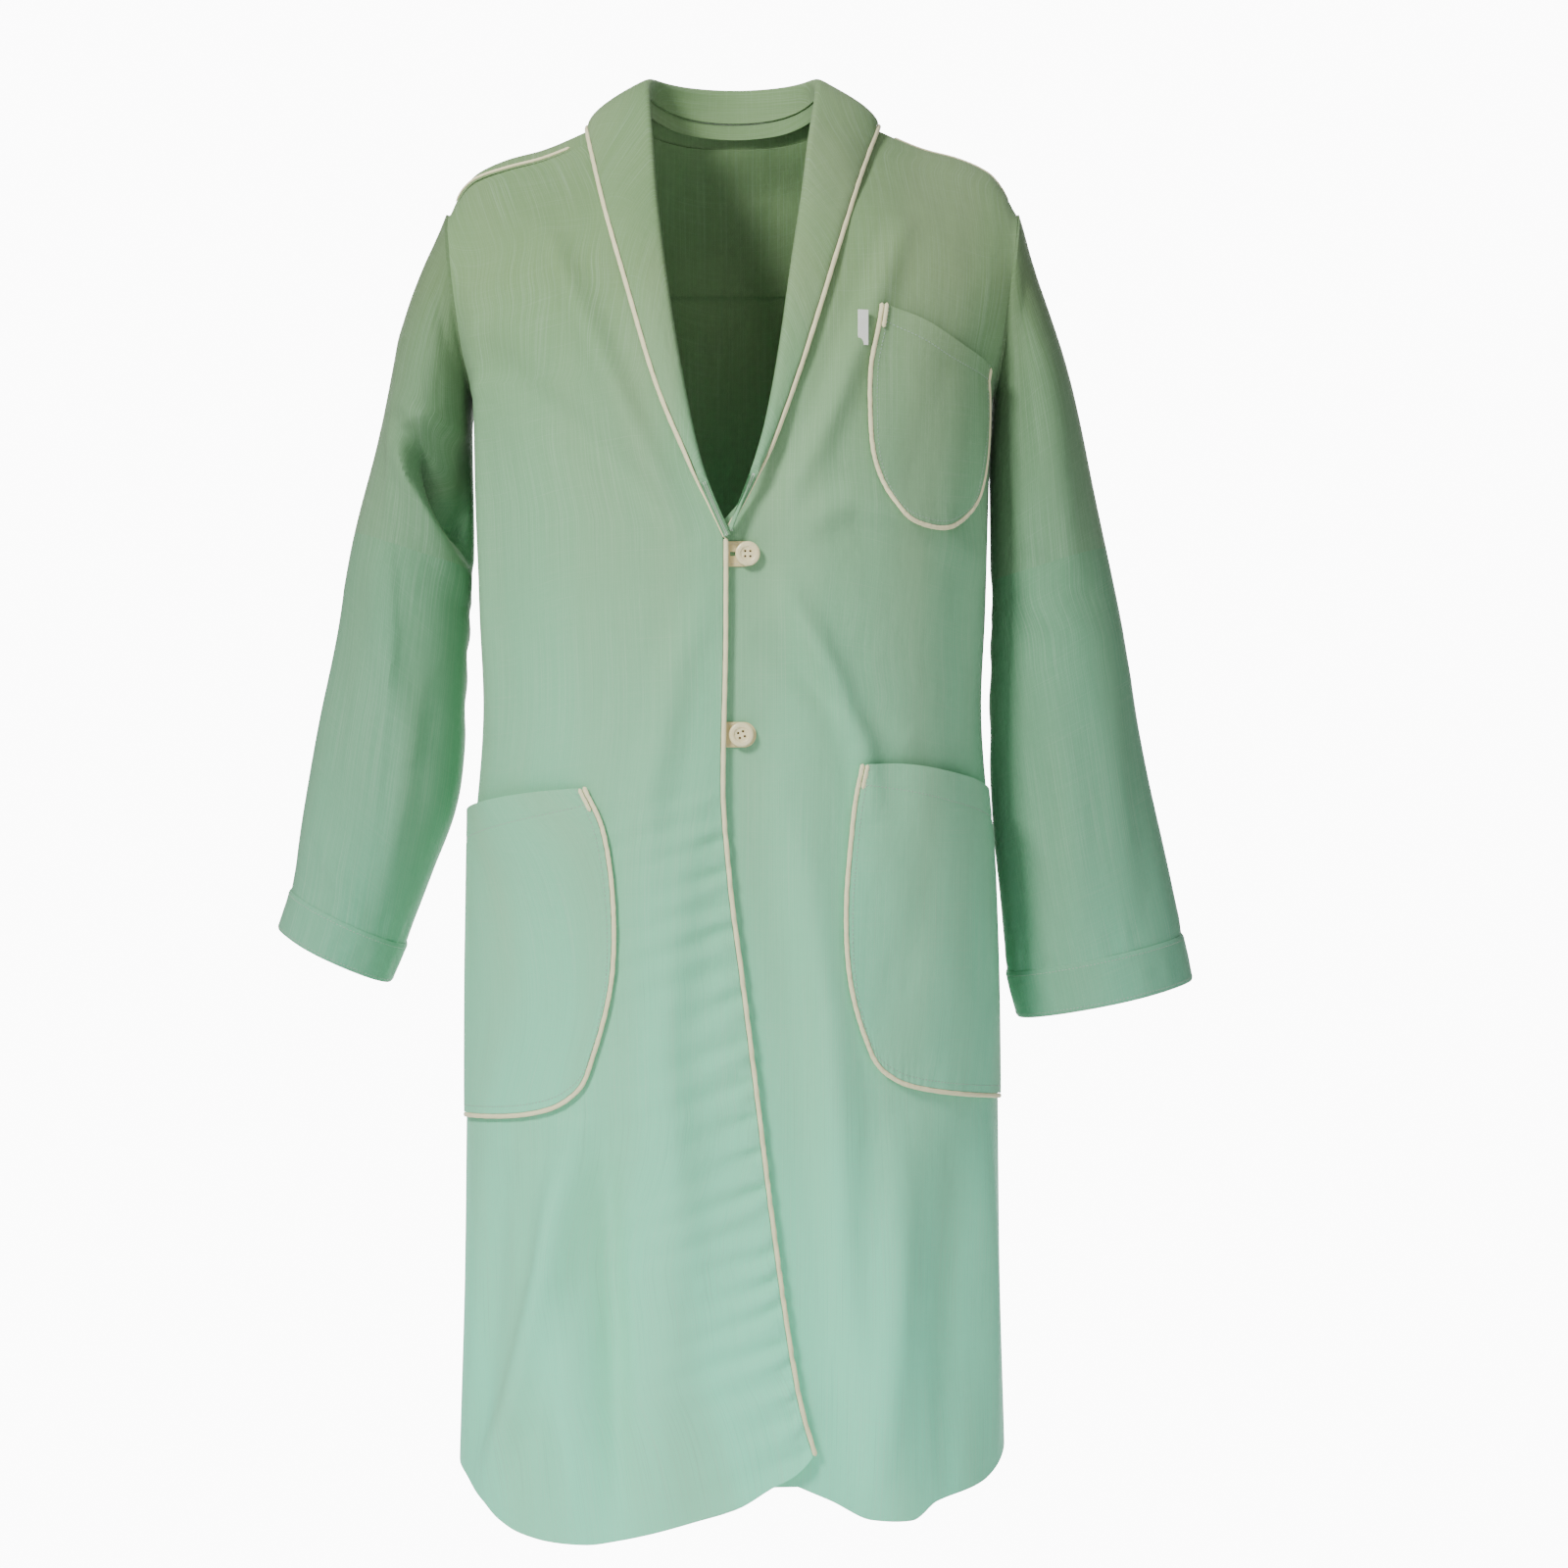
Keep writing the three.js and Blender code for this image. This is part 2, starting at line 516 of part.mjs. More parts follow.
// Normals of a closed tube of rings.
function tube_normals(grid) {
  const n = grid[0].length;
  return grid.map((row, j) => {
    const centre = row.reduce((sum, p) => add(sum, p, 1 / n), [0, 0, 0]);
    return row.map((p, i) => {
      const across = minus(row[(i + 1) % n], row[(i + n - 1) % n]);
      const along = minus(grid[Math.min(j + 1, grid.length - 1)][i], grid[Math.max(j - 1, 0)][i]);
      const out = unit(cross(across, along));
      return dot(out, minus(p, centre)) < 0 ? out.map((c) => -c) : out;
    });
  });
}
function tube(name, grid, inner, outer, colour) {
  return layer(name, grid, inner, outer, colour, { normals: tube_normals(grid), closed: true });
}
Object.entries(SLEEVES).forEach(([name, sleeve]) => {
  tube(`${name}_upper_sleeve`, sleeve_grid(sleeve, 0, ELBOW_RING, 7), -CLOTH, 0, COLOURS.cloth);
  tube(`${name}_lower_sleeve`, sleeve_grid(sleeve, ELBOW_RING, SEAM_RING, 6), -CLOTH, 0, COLOURS.cloth);
  tube(`${name}_cuff`, sleeve_grid(sleeve, SEAM_RING, 7, 1, 1), -2.4, 0, COLOURS.cloth);
});

// ---------- patch pockets ----------
// A pocket's four sides are curves of [x, z]; its inside corner is rounded by the curves themselves.
const POCKETS = {
  right_hip_pocket: {
    side: -1, bulge: 12, columns: 7, rows: 7,
    top: [[105, -534], [140, -538], [182, -547], [202, -556]],
    inner: [[98, -726], [85, -672], [84, -615], [91, -566], [105, -534]],
    bottom: [[98, -726], [113, -755], [148, -771], [201, -781]],
    outer: [[201, -781], [202, -668], [202, -556]],
  },
  left_hip_pocket: {
    side: 1, bulge: 12, columns: 7, rows: 7,
    top: [[96, -517], [124, -517], [160, -524], [194, -535]],
    inner: [[99, -713], [88, -670], [86, -616], [91, -556], [96, -517]],
    bottom: [[99, -713], [115, -740], [150, -754], [203, -768]],
    outer: [[203, -768], [201, -650], [194, -535]],
  },
  breast_pocket: {
    side: 1, bulge: 8, columns: 6, rows: 7,
    top: [[112, -180], [140, -187], [168, -204], [194, -214]],
    inner: [[120, -325], [107, -293], [104, -252], [107, -210], [112, -180]],
    bottom: [[120, -325], [134, -338], [158, -339], [178, -321]],
    outer: [[178, -321], [186, -287], [191, -250], [194, -214]],
  },
};
const POCKET_LIFT = 2.8;
function pocket_grid({ side, bulge, columns, rows, top, inner, bottom, outer }) {
  const round_edge = (points) => through(points.map(([x, z]) => [angle_of(x, z), z]));
  const [t, l, b, r] = [top, inner, bottom, outer].map(round_edge);
  const flat = sheet(columns, rows, (u, v) => {
    const blend = (k) =>
      (1 - v) * b(u)[k] + v * t(u)[k] + (1 - u) * l(v)[k] + u * r(v)[k] -
      ((1 - u) * (1 - v) * b(0)[k] + u * (1 - v) * b(1)[k] + (1 - u) * v * t(0)[k] + u * v * t(1)[k]);
    const p = torso(blend(0), blend(1), front_depth);
    return [side * p[0], -p[1] - GAP, p[2]];
  });
  return lifted(flat, (u, v) => POCKET_LIFT + bulge * Math.sin(Math.PI * u) * v ** 2.5);
}
const pocket_keep = (p) => [p[0], Math.min(p[1], -GAP), p[2]];
Object.entries(POCKETS).forEach(([name, pocket]) => {
  const grid = pocket_grid(pocket);
  const normals = normals_of(grid, body_axis);
  layer(name, grid, 0, 1.0, COLOURS.cloth, { keep: pocket_keep, normals });
  // Its piping runs down the inner side, round the corner and along the bottom.
  const last = grid.length - 1;
  const down = grid.map((row, j) => [row[0], row[1], normals[j][0]]).reverse();
  const along = grid[0].map((p, i) => [p, grid[1][i], normals[0][i]]).slice(1);
  const up = name === "breast_pocket"
    ? grid.map((row, j) => [row[row.length - 1], row[row.length - 2], normals[j][row.length - 1]]).slice(1)
    : [];
  const corner = unit(minus(grid[0][0], grid[1][1]));
  const stations = [...down, ...along, ...up].map(([p, q, n], k) => {
    const away = k === last ? corner : unit(minus(p, q));
    return [add(add(p, away, PIPING.half_width + GAP), n, 0.6), away, n];
  });
  piping(`${name}_piping`, stations);
});

// ---------- piping on the fronts, the collar and the shoulders ----------
// Along the free edge of a sheet: the edge's points, those next to them and their normals.
const edge_stations = (edge, next, normals, rise) =>
  edge.map((p, k) => {
    const away = unit(minus(p, next[k]));
    return [add(add(p, away, PIPING.half_width + GAP), normals[k], rise), away, normals[k]];
  });
const first_column = (grid, j0, j1) => grid.slice(j0, j1 + 1).map((row) => row[0]);
const column = (grid, i) => grid.map((row) => row[i]);
const right_normals = normals_of(right_front, body_axis);
const break_row = 15;
piping("right_front_piping", edge_stations(
  first_column(right_front, 13, break_row - 1),
  right_front.slice(13, break_row).map((row) => row[1]),
  first_column(right_normals, 13, break_row - 1),
  -1.5,
));
const flap_normals = normals_of(flap, body_axis);
const flap_last = flap[0].length - 1;
piping("right_skirt_piping", edge_stations(
  column(flap, flap_last),
  column(flap, flap_last - 1),
  column(flap_normals, flap_last),
  -1.5,
));
const collar_edge = collar.length - 1;
const PIPED = 10; // columns of the collar's outer edge that carry piping, from each front tip
[["right_collar_piping", 0], ["left_collar_piping", 2 * COLLAR_HALF - PIPED]].forEach(([name, from]) => {
  const span = (row) => row.slice(from, from + PIPED + 1);
  piping(name, edge_stations(
    span(collar[collar_edge]),
    span(collar[collar_edge - 1]),
    span(collar_normals[collar_edge]),
    1.7,
  ));
});
// The shoulder piping lies over each shoulder seam, from the collar to the sleeve.
const SHOULDER_STEPS = 9;
const shoulder_stations = (side, rise) =>
  Array.from({ length: SHOULDER_STEPS + 1 }, (_, k) => {
    const x = lerp(126, 217, k / SHOULDER_STEPS);
    const z = seam_height(x, side);
    const y = side < 0 ? -right_seam_depth(x) : 3;
    const next = seam_height(x + 1, side) - seam_height(x - 1, side);
    const along = unit([side * 2, 0, next]);
    const out = side < 0 ? unit([-0.15, -0.55, 1]) : unit([0.2, 0.35, 1]);
    const sideways = unit(cross(along, out));
    return [add([side * x, y, z], out, rise), sideways, unit(cross(sideways, along))];
  });
piping("right_shoulder_piping", shoulder_stations(-1, 3.6));
piping("left_shoulder_piping", shoulder_stations(1, 3.0));

// ---------- buttons on their threads, and the buttonhole tabs ----------
const circle_points = 24;
function tab_shape() {
  const shape = new THREE.Shape();
  shape.moveTo(-TAB.root, -TAB.half_height);
  shape.lineTo(TAB.reach - TAB.half_height, -TAB.half_height);
  shape.absarc(TAB.reach - TAB.half_height, 0, TAB.half_height, -Math.PI / 2, Math.PI / 2, false);
  shape.lineTo(-TAB.root, TAB.half_height);
  shape.closePath();
  return shape;
}
Object.entries(BUTTONS).forEach(([name, { x, z, turn }]) => {
  const face = on_front(x, z)[1];
  const turned = (shape_depth, y, geometry) => {
    geometry.rotateX(Math.PI / 2); // the profile's plane becomes XZ, and it grows towards -Y
    geometry.translate(0, y + shape_depth, 0);
    return geometry;
  };
  const flat = (node, shape, depth, y, at, colour, spin = 0) => {
    const options = { depth, bevelEnabled: false, curveSegments: circle_points / 4 };
    const geometry = new THREE.ExtrudeGeometry(shape, options);
    const mesh = new THREE.Mesh(
      turned(depth, 0, geometry),
      new THREE.MeshStandardMaterial({ color: colour, roughness: 0.4, metalness: 0 }),
    );
    mesh.name = node;
    mesh.position.set(at[0], y, at[1]);
    mesh.rotation.y = spin;
    group.add(mesh);
  };
  const slit = new THREE.Path();
  slit.moveTo(x - TAB.slit_half, -TAB.slit_wide);
  slit.lineTo(x - TAB.slit_half, TAB.slit_wide);
  slit.lineTo(x + TAB.slit_half - 3, TAB.slit_wide);
  slit.lineTo(x + TAB.slit_half - 3, -TAB.slit_wide);
  const tab = tab_shape();
  tab.holes.push(slit);
  flat(`${name}_button_tab`, tab, TAB.thick, face + 4.1, [0, z], COLOURS.piping);

  const disc = new THREE.Shape();
  disc.absarc(0, 0, BUTTON.radius, 0, 2 * Math.PI, false);
  [[1, 1], [1, -1], [-1, 1], [-1, -1]].forEach(([a, b]) => {
    const hole = new THREE.Path();
    hole.absarc(a * BUTTON.hole_offset, b * BUTTON.hole_offset, BUTTON.hole, 0, 2 * Math.PI, true);
    disc.holes.push(hole);
  });
  const back_face = face + 2.6;
  flat(`${name}_button`, disc, BUTTON.thick, back_face - BUTTON.thick, [x, z], COLOURS.button,
    THREE.MathUtils.degToRad(turn));

  // The shank of wound thread stands between the left front and the button's back.
  const shank = new THREE.Shape();
  shank.absarc(0, 0, 0.95, 0, 2 * Math.PI, false);
  const post_length = UNDERLAP - 2.6 - 2 * GAP - 0.6;
  flat(`${name}_button_thread`, shank, post_length, back_face + GAP, [x, z], COLOURS.piping);
});

// ---------- the blank label loop at the breast pocket ----------
const LABEL = { x: 103, top: -184, height: 26, reach: 7, thick: 0.5 };
const label_shape = new THREE.Shape();
label_shape.moveTo(0, 0);
label_shape.lineTo(LABEL.reach, 0);
label_shape.lineTo(LABEL.reach, LABEL.thick);
label_shape.lineTo(LABEL.thick, LABEL.thick);
label_shape.lineTo(LABEL.thick, 2 * LABEL.thick + 0.6);
label_shape.lineTo(LABEL.reach, 2 * LABEL.thick + 0.6);
label_shape.lineTo(LABEL.reach, 3 * LABEL.thick + 0.6);
label_shape.lineTo(0, 3 * LABEL.thick + 0.6);
label_shape.closePath();
const label = new THREE.Mesh(
  new THREE.ExtrudeGeometry(label_shape, { depth: LABEL.height, bevelEnabled: false }),
  new THREE.MeshStandardMaterial({ color: COLOURS.lining, roughness: 0.7, metalness: 0 }),
);
label.name = "pocket_label";
const label_depth = on_front(LABEL.x, LABEL.top - 20)[1] - 7.5;
label.position.set(LABEL.x - LABEL.reach - 2, label_depth, LABEL.top - LABEL.height);
group.add(label);

export default group;
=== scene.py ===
# %% [markdown]
# # A lab coat in mint cloth
# The coat hangs as it would on a wearer, front towards -Y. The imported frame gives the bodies, the joints
# and the size of every part. Each cloth piece is then worked out again as a fine grid, because cloth is
# seen by its folds, its turned edges and its weave, and a frame of flat facets has none of these.

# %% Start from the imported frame
import json
import math

import bpy
import numpy as np
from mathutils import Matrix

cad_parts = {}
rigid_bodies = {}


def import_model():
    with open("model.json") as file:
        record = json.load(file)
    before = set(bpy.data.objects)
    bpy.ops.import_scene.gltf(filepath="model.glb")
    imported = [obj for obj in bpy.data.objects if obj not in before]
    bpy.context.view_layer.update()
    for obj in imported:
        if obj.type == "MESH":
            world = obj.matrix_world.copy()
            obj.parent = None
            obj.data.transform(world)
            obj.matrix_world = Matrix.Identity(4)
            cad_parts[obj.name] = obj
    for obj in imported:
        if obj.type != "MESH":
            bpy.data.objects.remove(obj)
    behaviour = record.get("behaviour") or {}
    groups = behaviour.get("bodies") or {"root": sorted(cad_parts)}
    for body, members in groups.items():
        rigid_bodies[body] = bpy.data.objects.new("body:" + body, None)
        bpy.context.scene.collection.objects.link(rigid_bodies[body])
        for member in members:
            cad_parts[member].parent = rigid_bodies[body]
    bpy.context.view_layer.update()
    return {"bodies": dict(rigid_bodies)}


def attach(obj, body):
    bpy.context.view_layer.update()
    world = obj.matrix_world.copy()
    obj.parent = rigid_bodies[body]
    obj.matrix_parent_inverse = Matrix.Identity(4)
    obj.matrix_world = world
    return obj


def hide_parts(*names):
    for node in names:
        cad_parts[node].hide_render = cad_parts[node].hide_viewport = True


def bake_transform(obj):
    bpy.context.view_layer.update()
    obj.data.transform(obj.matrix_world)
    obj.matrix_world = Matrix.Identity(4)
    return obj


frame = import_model()
MM = 0.001
print("bodies:", ", ".join(sorted(frame["bodies"])))

# %% [markdown]
# The camera stands two metres in front of the coat, level with its middle and a little to the wearer's
# left. A longer lens keeps the sleeves and the skirt in proportion.

# %% Camera
CAMERA_AT = (0.040, -2.0, -0.531)
LENS_MM = 58.44
camera_data = bpy.data.cameras.new("camera")
camera_data.lens = LENS_MM
camera_data.sensor_width = 36.0
camera = bpy.data.objects.new("camera", camera_data)
camera.location = CAMERA_AT
camera.rotation_euler = (math.radians(90), 0, 0)
bpy.context.scene.collection.objects.link(camera)
bpy.context.scene.camera = camera
print("camera at", CAMERA_AT, "lens", LENS_MM)

# %% [markdown]
# ## Curves and grids
# Every outline is a smooth curve through a few points. A cubic between each pair of points,
# with its slope held between theirs, never swings past a point, so a hem drawn this way can't ripple.

# %% Smooth curves
def smooth(pairs):
    """A cubic through [place, value] pairs. The slope at a point is the harmonic mean of the slopes on
    its two sides, or zero where they differ in sign, so the curve never overshoots."""
    t, v = np.array(pairs, float).T
    step = np.diff(v) / np.diff(t)
    slope = np.empty_like(v)
    slope[0], slope[-1] = step[0], step[-1]
    a, b = step[:-1], step[1:]
    safe = np.where(a * b > 0, a + b, 1.0)
    slope[1:-1] = np.where(a * b > 0, 2 * a * b / safe, 0.0)

    def curve(at):
        x = np.clip(at, t[0], t[-1])
        i = np.clip(np.searchsorted(t, x, side="left") - 1, 0, len(t) - 2)
        h = t[i + 1] - t[i]
        s = (x - t[i]) / h
        rise = (3 * s**2 - 2 * s**3) * (v[i + 1] - v[i]) + v[i]
        return rise + h * ((s**3 - 2 * s**2 + s) * slope[i] + (s**3 - s**2) * slope[i + 1])

    return curve


def through(points):
    """A curve in several dimensions: its points are evenly spaced from 0 to 1."""
    places = np.linspace(0, 1, len(points))
    curves = [smooth(list(zip(places, values))) for values in zip(*points)]
    return lambda at: np.stack([curve(at) for curve in curves], axis=-1)


def ease(t):
    """Zero below 0, one above 1, and a smooth S between."""
    s = np.clip(t, 0, 1)
    return s * s * (3 - 2 * s)


def unit(v):
    """Vectors of length one."""
    return v / np.maximum(np.linalg.norm(v, axis=-1, keepdims=True), 1e-9)


def lerp(a, b, t):
    """The value a share t of the way from a to b."""
    return a + (b - a) * t


def grid(columns, rows):
    """u across and v up, from 0 to 1, as two arrays of rows + 1 by columns + 1."""
    return np.meshgrid(np.linspace(0, 1, columns + 1), np.linspace(0, 1, rows + 1))


def normals_of(points, centre=None, closed=False):
    """Each point's normal is the cross product of the steps to its neighbours across and up. They all
    face away from centre, which is the body's upright axis unless another is given."""
    if closed:
        across = np.roll(points, -1, axis=1) - np.roll(points, 1, axis=1)
    else:
        across = np.gradient(points, axis=1)
    normals = unit(np.cross(across, np.gradient(points, axis=0)))
    if centre is None:
        centre = points * [0, 0, 1]
    return normals * np.sign(np.sum(normals * (points - centre)))


# %% [markdown]
# A cloth piece is a closed shell: the grid, the same grid moved in by the cloth's thickness, and a rim
# that joins the two. The rim stays sharp, as a pressed edge does. Each shell also gets a UV map measured
# in metres of cloth, so that the weave keeps its size on every piece.

# %% Shells
def lengths(points, axis):
    """The distance run along a grid's rows or columns, in metres."""
    steps = np.linalg.norm(np.diff(points, axis=axis), axis=-1)
    zero = np.zeros_like(np.take(steps, [0], axis=axis))
    return np.concatenate([zero, np.cumsum(steps, axis=axis)], axis=axis) * MM


def put_mesh(name, points, faces, uv=None, sharp=40):
    """Points in millimetres and four-cornered faces become an object at the origin, turned so that its
    volume is positive, with smooth shading but sharp where faces meet at more than a given angle."""
    a, b, c, d = (points[faces[:, k]] for k in range(4))
    volume = np.sum(a * np.cross(b, c)) + np.sum(a * np.cross(c, d))
    if volume < 0:
        faces = faces[:, ::-1]
    mesh = bpy.data.meshes.new(name)
    mesh.vertices.add(len(points))
    mesh.vertices.foreach_set("co", (points * MM).astype(np.float32).ravel())
    mesh.loops.add(faces.size)
    mesh.loops.foreach_set("vertex_index", faces.astype(np.int32).ravel())
    mesh.polygons.add(len(faces))
    mesh.polygons.foreach_set("loop_start", np.arange(0, faces.size, 4, dtype=np.int32))
    mesh.update(calc_edges=True)
    if uv is not None:
        layer = mesh.uv_layers.new(name="cloth")
        layer.data.foreach_set("uv", uv[faces.ravel()].astype(np.float32).ravel())
    mesh.polygons.foreach_set("use_smooth", np.ones(len(faces), bool))
    mesh.set_sharp_from_angle(angle=math.radians(sharp))
    mesh.validate()
    piece = bpy.data.objects.new(name, mesh)
    bpy.context.scene.collection.objects.link(piece)
    return piece


def quads(rows, columns, first=0, closed=False):
    """The four corners of every cell of a grid whose points are counted row by row."""
    j, i = np.meshgrid(np.arange(rows - 1), np.arange(columns if closed else columns - 1), indexing="ij")
    k = (i + 1) % columns
    corners = [j * columns + i, j * columns + k, (j + 1) * columns + k, (j + 1) * columns + i]
    return first + np.stack(corners, axis=-1).reshape(-1, 4)


def shell(name, points, inner, outer, normals=None, closed=False, centre=None, keep=None, along=False):
    """A closed layer of a grid, from inner to outer millimetres along its normals. keep, where given,
    holds points on their own side of a seam. along turns the cloth's grain to run with the rows."""
    normals = normals_of(points, centre, closed) if normals is None else normals
    rows, columns = points.shape[:2]
    out, back = points + normals * outer, points + normals * inner
    if keep:
        out, back = keep(out), keep(back)
    half = rows * columns
    top = quads(rows, columns, 0, closed)
    under = quads(rows, columns, half, closed)[:, ::-1]
    loop = [np.arange(columns), half - columns + np.arange(columns)]
    rims = []
    for edge, turn in ((loop[0], 1), (loop[1], -1)):
        nxt = np.roll(edge, -1) if closed else edge[1:]
        cur = edge if closed else edge[:-1]
        rims.append(np.stack([cur, cur + half, nxt + half, nxt][::turn], axis=-1))
    if not closed:
        for edge, turn in ((np.arange(rows) * columns, -1), (np.arange(rows) * columns + columns - 1, 1)):
            cur, nxt = edge[:-1], edge[1:]
            rims.append(np.stack([cur, cur + half, nxt + half, nxt][::turn], axis=-1))
    u, v = lengths(points, 1), lengths(points, 0)
    start = columns // 2 if points[0, 0, 0] * points[0, -1, 0] < 0 else 0
    u = u - u[:, [start]] + (0 if closed else points[:, [start], 0] * MM)
    v = v - v[[-1], :] + points[[-1], :, 2] * MM
    uv = np.stack([v, u] if along else [u, v], axis=-1).reshape(-1, 2)
    everything = np.concatenate([out.reshape(-1, 3), back.reshape(-1, 3)])
    return put_mesh(name, everything, np.concatenate([top, under, *rims]), np.concatenate([uv, uv]))


def cut_of(points):
    """The flat cut of a grid: its widest row, its longest column and its area, in metres. The pattern
    piece is taken before any fold is added."""
    across, up = np.diff(points, axis=1), np.diff(points, axis=0)
    cells = np.linalg.norm(np.cross(across[:-1], up[:, :-1]), axis=-1)
    width, length = lengths(points, 1)[:, -1].max(), lengths(points, 0)[-1].max()
    return float(width), float(length), float(cells.sum()) * MM**2


def dress(piece, finish, slot, body=None, *nodes):
    """Gives a piece its finish and, where given, the body it rides on, and hides the parts it
    replaces. slot is not used."""
    piece.data.materials.append(finish)
    if body:
        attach(piece, body)
    if nodes:
        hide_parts(*nodes)
    return piece


def declare(piece, points):
    """Prints the size that a piece of cloth was cut to."""
    width, length, area = cut_of(points)
    print(f"{piece.name}: cut {width:.3f} by {length:.3f} m, {area:.4f} square metres")

# %% [markdown]
# ## The coat's own shape
# The body is a stack of rounded ovals. Three curves give each oval's half width and its depth in front
# and behind, and the shoulder ridge says how high the cloth reaches at each distance from the middle.
# These are the same measures as the frame's, in millimetres.

# %% The torso
ROUNDNESS = 2.4
SHOULDER_FALL = 110
NECK_HALF = 75
TIP, UNDERARM, ARMHOLE_DEEP = (222, -86), (203, -228), 62
ARMHOLE_FROM = 0.72
GAP, CLOTH, PIPED_EDGE, UNDERLAP = 0.4, 1.0, 4.1, 6.5

half_width = smooth([
    [-1100, 213], [-1050, 212], [-900, 208], [-700, 206], [-600, 203], [-470, 194], [-400, 197],
    [-300, 200], [-228, 203], [-180, 222], [-140, 232], [60, 232],
])
front_depth = smooth([
    [-1100, 186], [-1000, 178], [-800, 172], [-600, 168], [-450, 165], [-350, 162], [-250, 152],
    [-200, 140], [-150, 122], [-100, 100], [-50, 70], [0, 55], [60, 50],
])
back_depth = smooth([
    [-1100, 160], [-900, 150], [-700, 140], [-500, 128], [-400, 130], [-300, 138], [-180, 135],
    [-100, 118], [-50, 95], [0, 60], [60, 55],
])
ridge = smooth([
    [0, 110], [40, 63], [60, 34], [70, 15], [NECK_HALF, 0], [112, -17], [150, -33], [176, -40],
    [200, -51], [210, -62], TIP, [240, -120],
])


def angle_of(x, z):
    """The angle round the oval at which it is x from the middle."""
    share = np.minimum(np.abs(x) / half_width(z), 1)
    return np.sign(x) * np.arcsin(share ** (ROUNDNESS / 2))


def torso(angle, z, depth):
    """Distance from the middle and depth of the torso. The oval is a superellipse, and it closes towards
    the shoulder ridge on a quarter round raised to the power 0.75."""
    x = np.sign(angle) * half_width(z) * np.abs(np.sin(angle)) ** (2 / ROUNDNESS)
    below = np.clip((ridge(np.abs(x)) - z) / SHOULDER_FALL, 0, 1)
    close = (1 - (1 - below) ** 2) ** 0.75
    return x, depth(z) * np.maximum(np.cos(angle), 0) ** (2 / ROUNDNESS) * close


def on_front(x, z):
    """The point of the front at a distance from the middle and a height."""
    px, deep = torso(angle_of(x, z), z, front_depth)
    return np.stack([px, -deep, z + 0 * px], axis=-1)


def front_normal(x, z):
    """The direction straight out of the front: the cross product of short steps across and up."""
    step = 0.5
    across = on_front(x + step, z) - on_front(x - step, z)
    up = on_front(x, z + step) - on_front(x, z - step)
    return unit(np.cross(across, up))


def armhole(turn):
    """Distance from the middle, depth and height of the armhole, from the tip at 0 to the underarm at 1."""
    t = (1 - np.cos(np.pi * turn)) / 2
    return lerp(TIP[0], UNDERARM[0], t), ARMHOLE_DEEP * np.sin(np.pi * turn), lerp(TIP[1], UNDERARM[1], t)


right_seam_depth = smooth([[NECK_HALF, 16], [112, 20], [170, 17], [200, 11], [TIP[0], 0]])


def seam_height(x, side):
    """The height of the shoulder seam. On the wearer's left it is the ridge; on the right it lies lower,
    where the front is as deep as the seam is."""
    x = np.abs(x)
    top = ridge(x)
    if side > 0:
        return top
    full = np.maximum(np.cos(angle_of(x, top)), 0) ** (2 / ROUNDNESS) * front_depth(top)
    share = np.minimum(right_seam_depth(x) / np.maximum(full, 1), 1)
    return top - SHOULDER_FALL * (1 - np.sqrt(1 - share ** (4 / 3)))


print("chest depth", float(front_depth(-250) + back_depth(-250)), "mm")

# %% [markdown]
# ## Folds
# A fold in hanging cloth starts where the cloth is held and fades where it is free. Each one here is a
# line on the front or the back, with a width and a height. A round fold has the section of a bell; a
# leaning one rises slowly and drops fast, which makes the dark side seen beside a crease. Slow waves of
# random length are laid over them, from a fixed seed.

# %% Folds and waves
def fold(x, z, path, width, height, lean=0.0):
    """Height of one fold at points (x, z). The distance d to the path sets a bell, exp(-(d / width)^2),
    and lean adds its slope. Along the path the fold rises and fades as a half sine."""
    path = np.array(path, float)
    total = np.linalg.norm(np.diff(path, axis=0), axis=1).sum()
    best, side, along, run = np.full(np.shape(x), 1e9), np.zeros(np.shape(x)), np.zeros(np.shape(x)), 0.0
    for a, b in zip(path[:-1], path[1:]):
        d = b - a
        long = np.linalg.norm(d)
        t = np.clip(((x - a[0]) * d[0] + (z - a[1]) * d[1]) / long**2, 0, 1)
        gap = np.hypot(x - a[0] - t * d[0], z - a[1] - t * d[1])
        turn = np.sign(d[0] * (z - a[1]) - d[1] * (x - a[0]))
        near = gap < best
        best, side = np.where(near, gap, best), np.where(near, turn, side)
        along = np.where(near, (run + t * long) / total, along)
        run += long
    s = best / width
    bell = np.exp(-s * s)
    return height * np.sin(np.pi * along) ** 0.8 * bell * (1 + lean * side * s * 1.6)


def waves(x, z, seed, longest, shortest, height, upright=1.0):
    """A sum of 14 sine waves of random direction and length. upright above 1 stretches them along z, as
    hanging cloth is smoother downwards than across."""
    rng = np.random.default_rng(seed)
    total = np.zeros(np.shape(x))
    for _ in range(14):
        size, way, start = rng.uniform(shortest, longest), rng.uniform(0, np.pi), rng.uniform(0, 2 * np.pi)
        k = 2 * np.pi / size
        total += np.sin(k * (x * np.cos(way) + z * np.sin(way) / upright) + start) * (size / longest)
    return total * height / 3.0


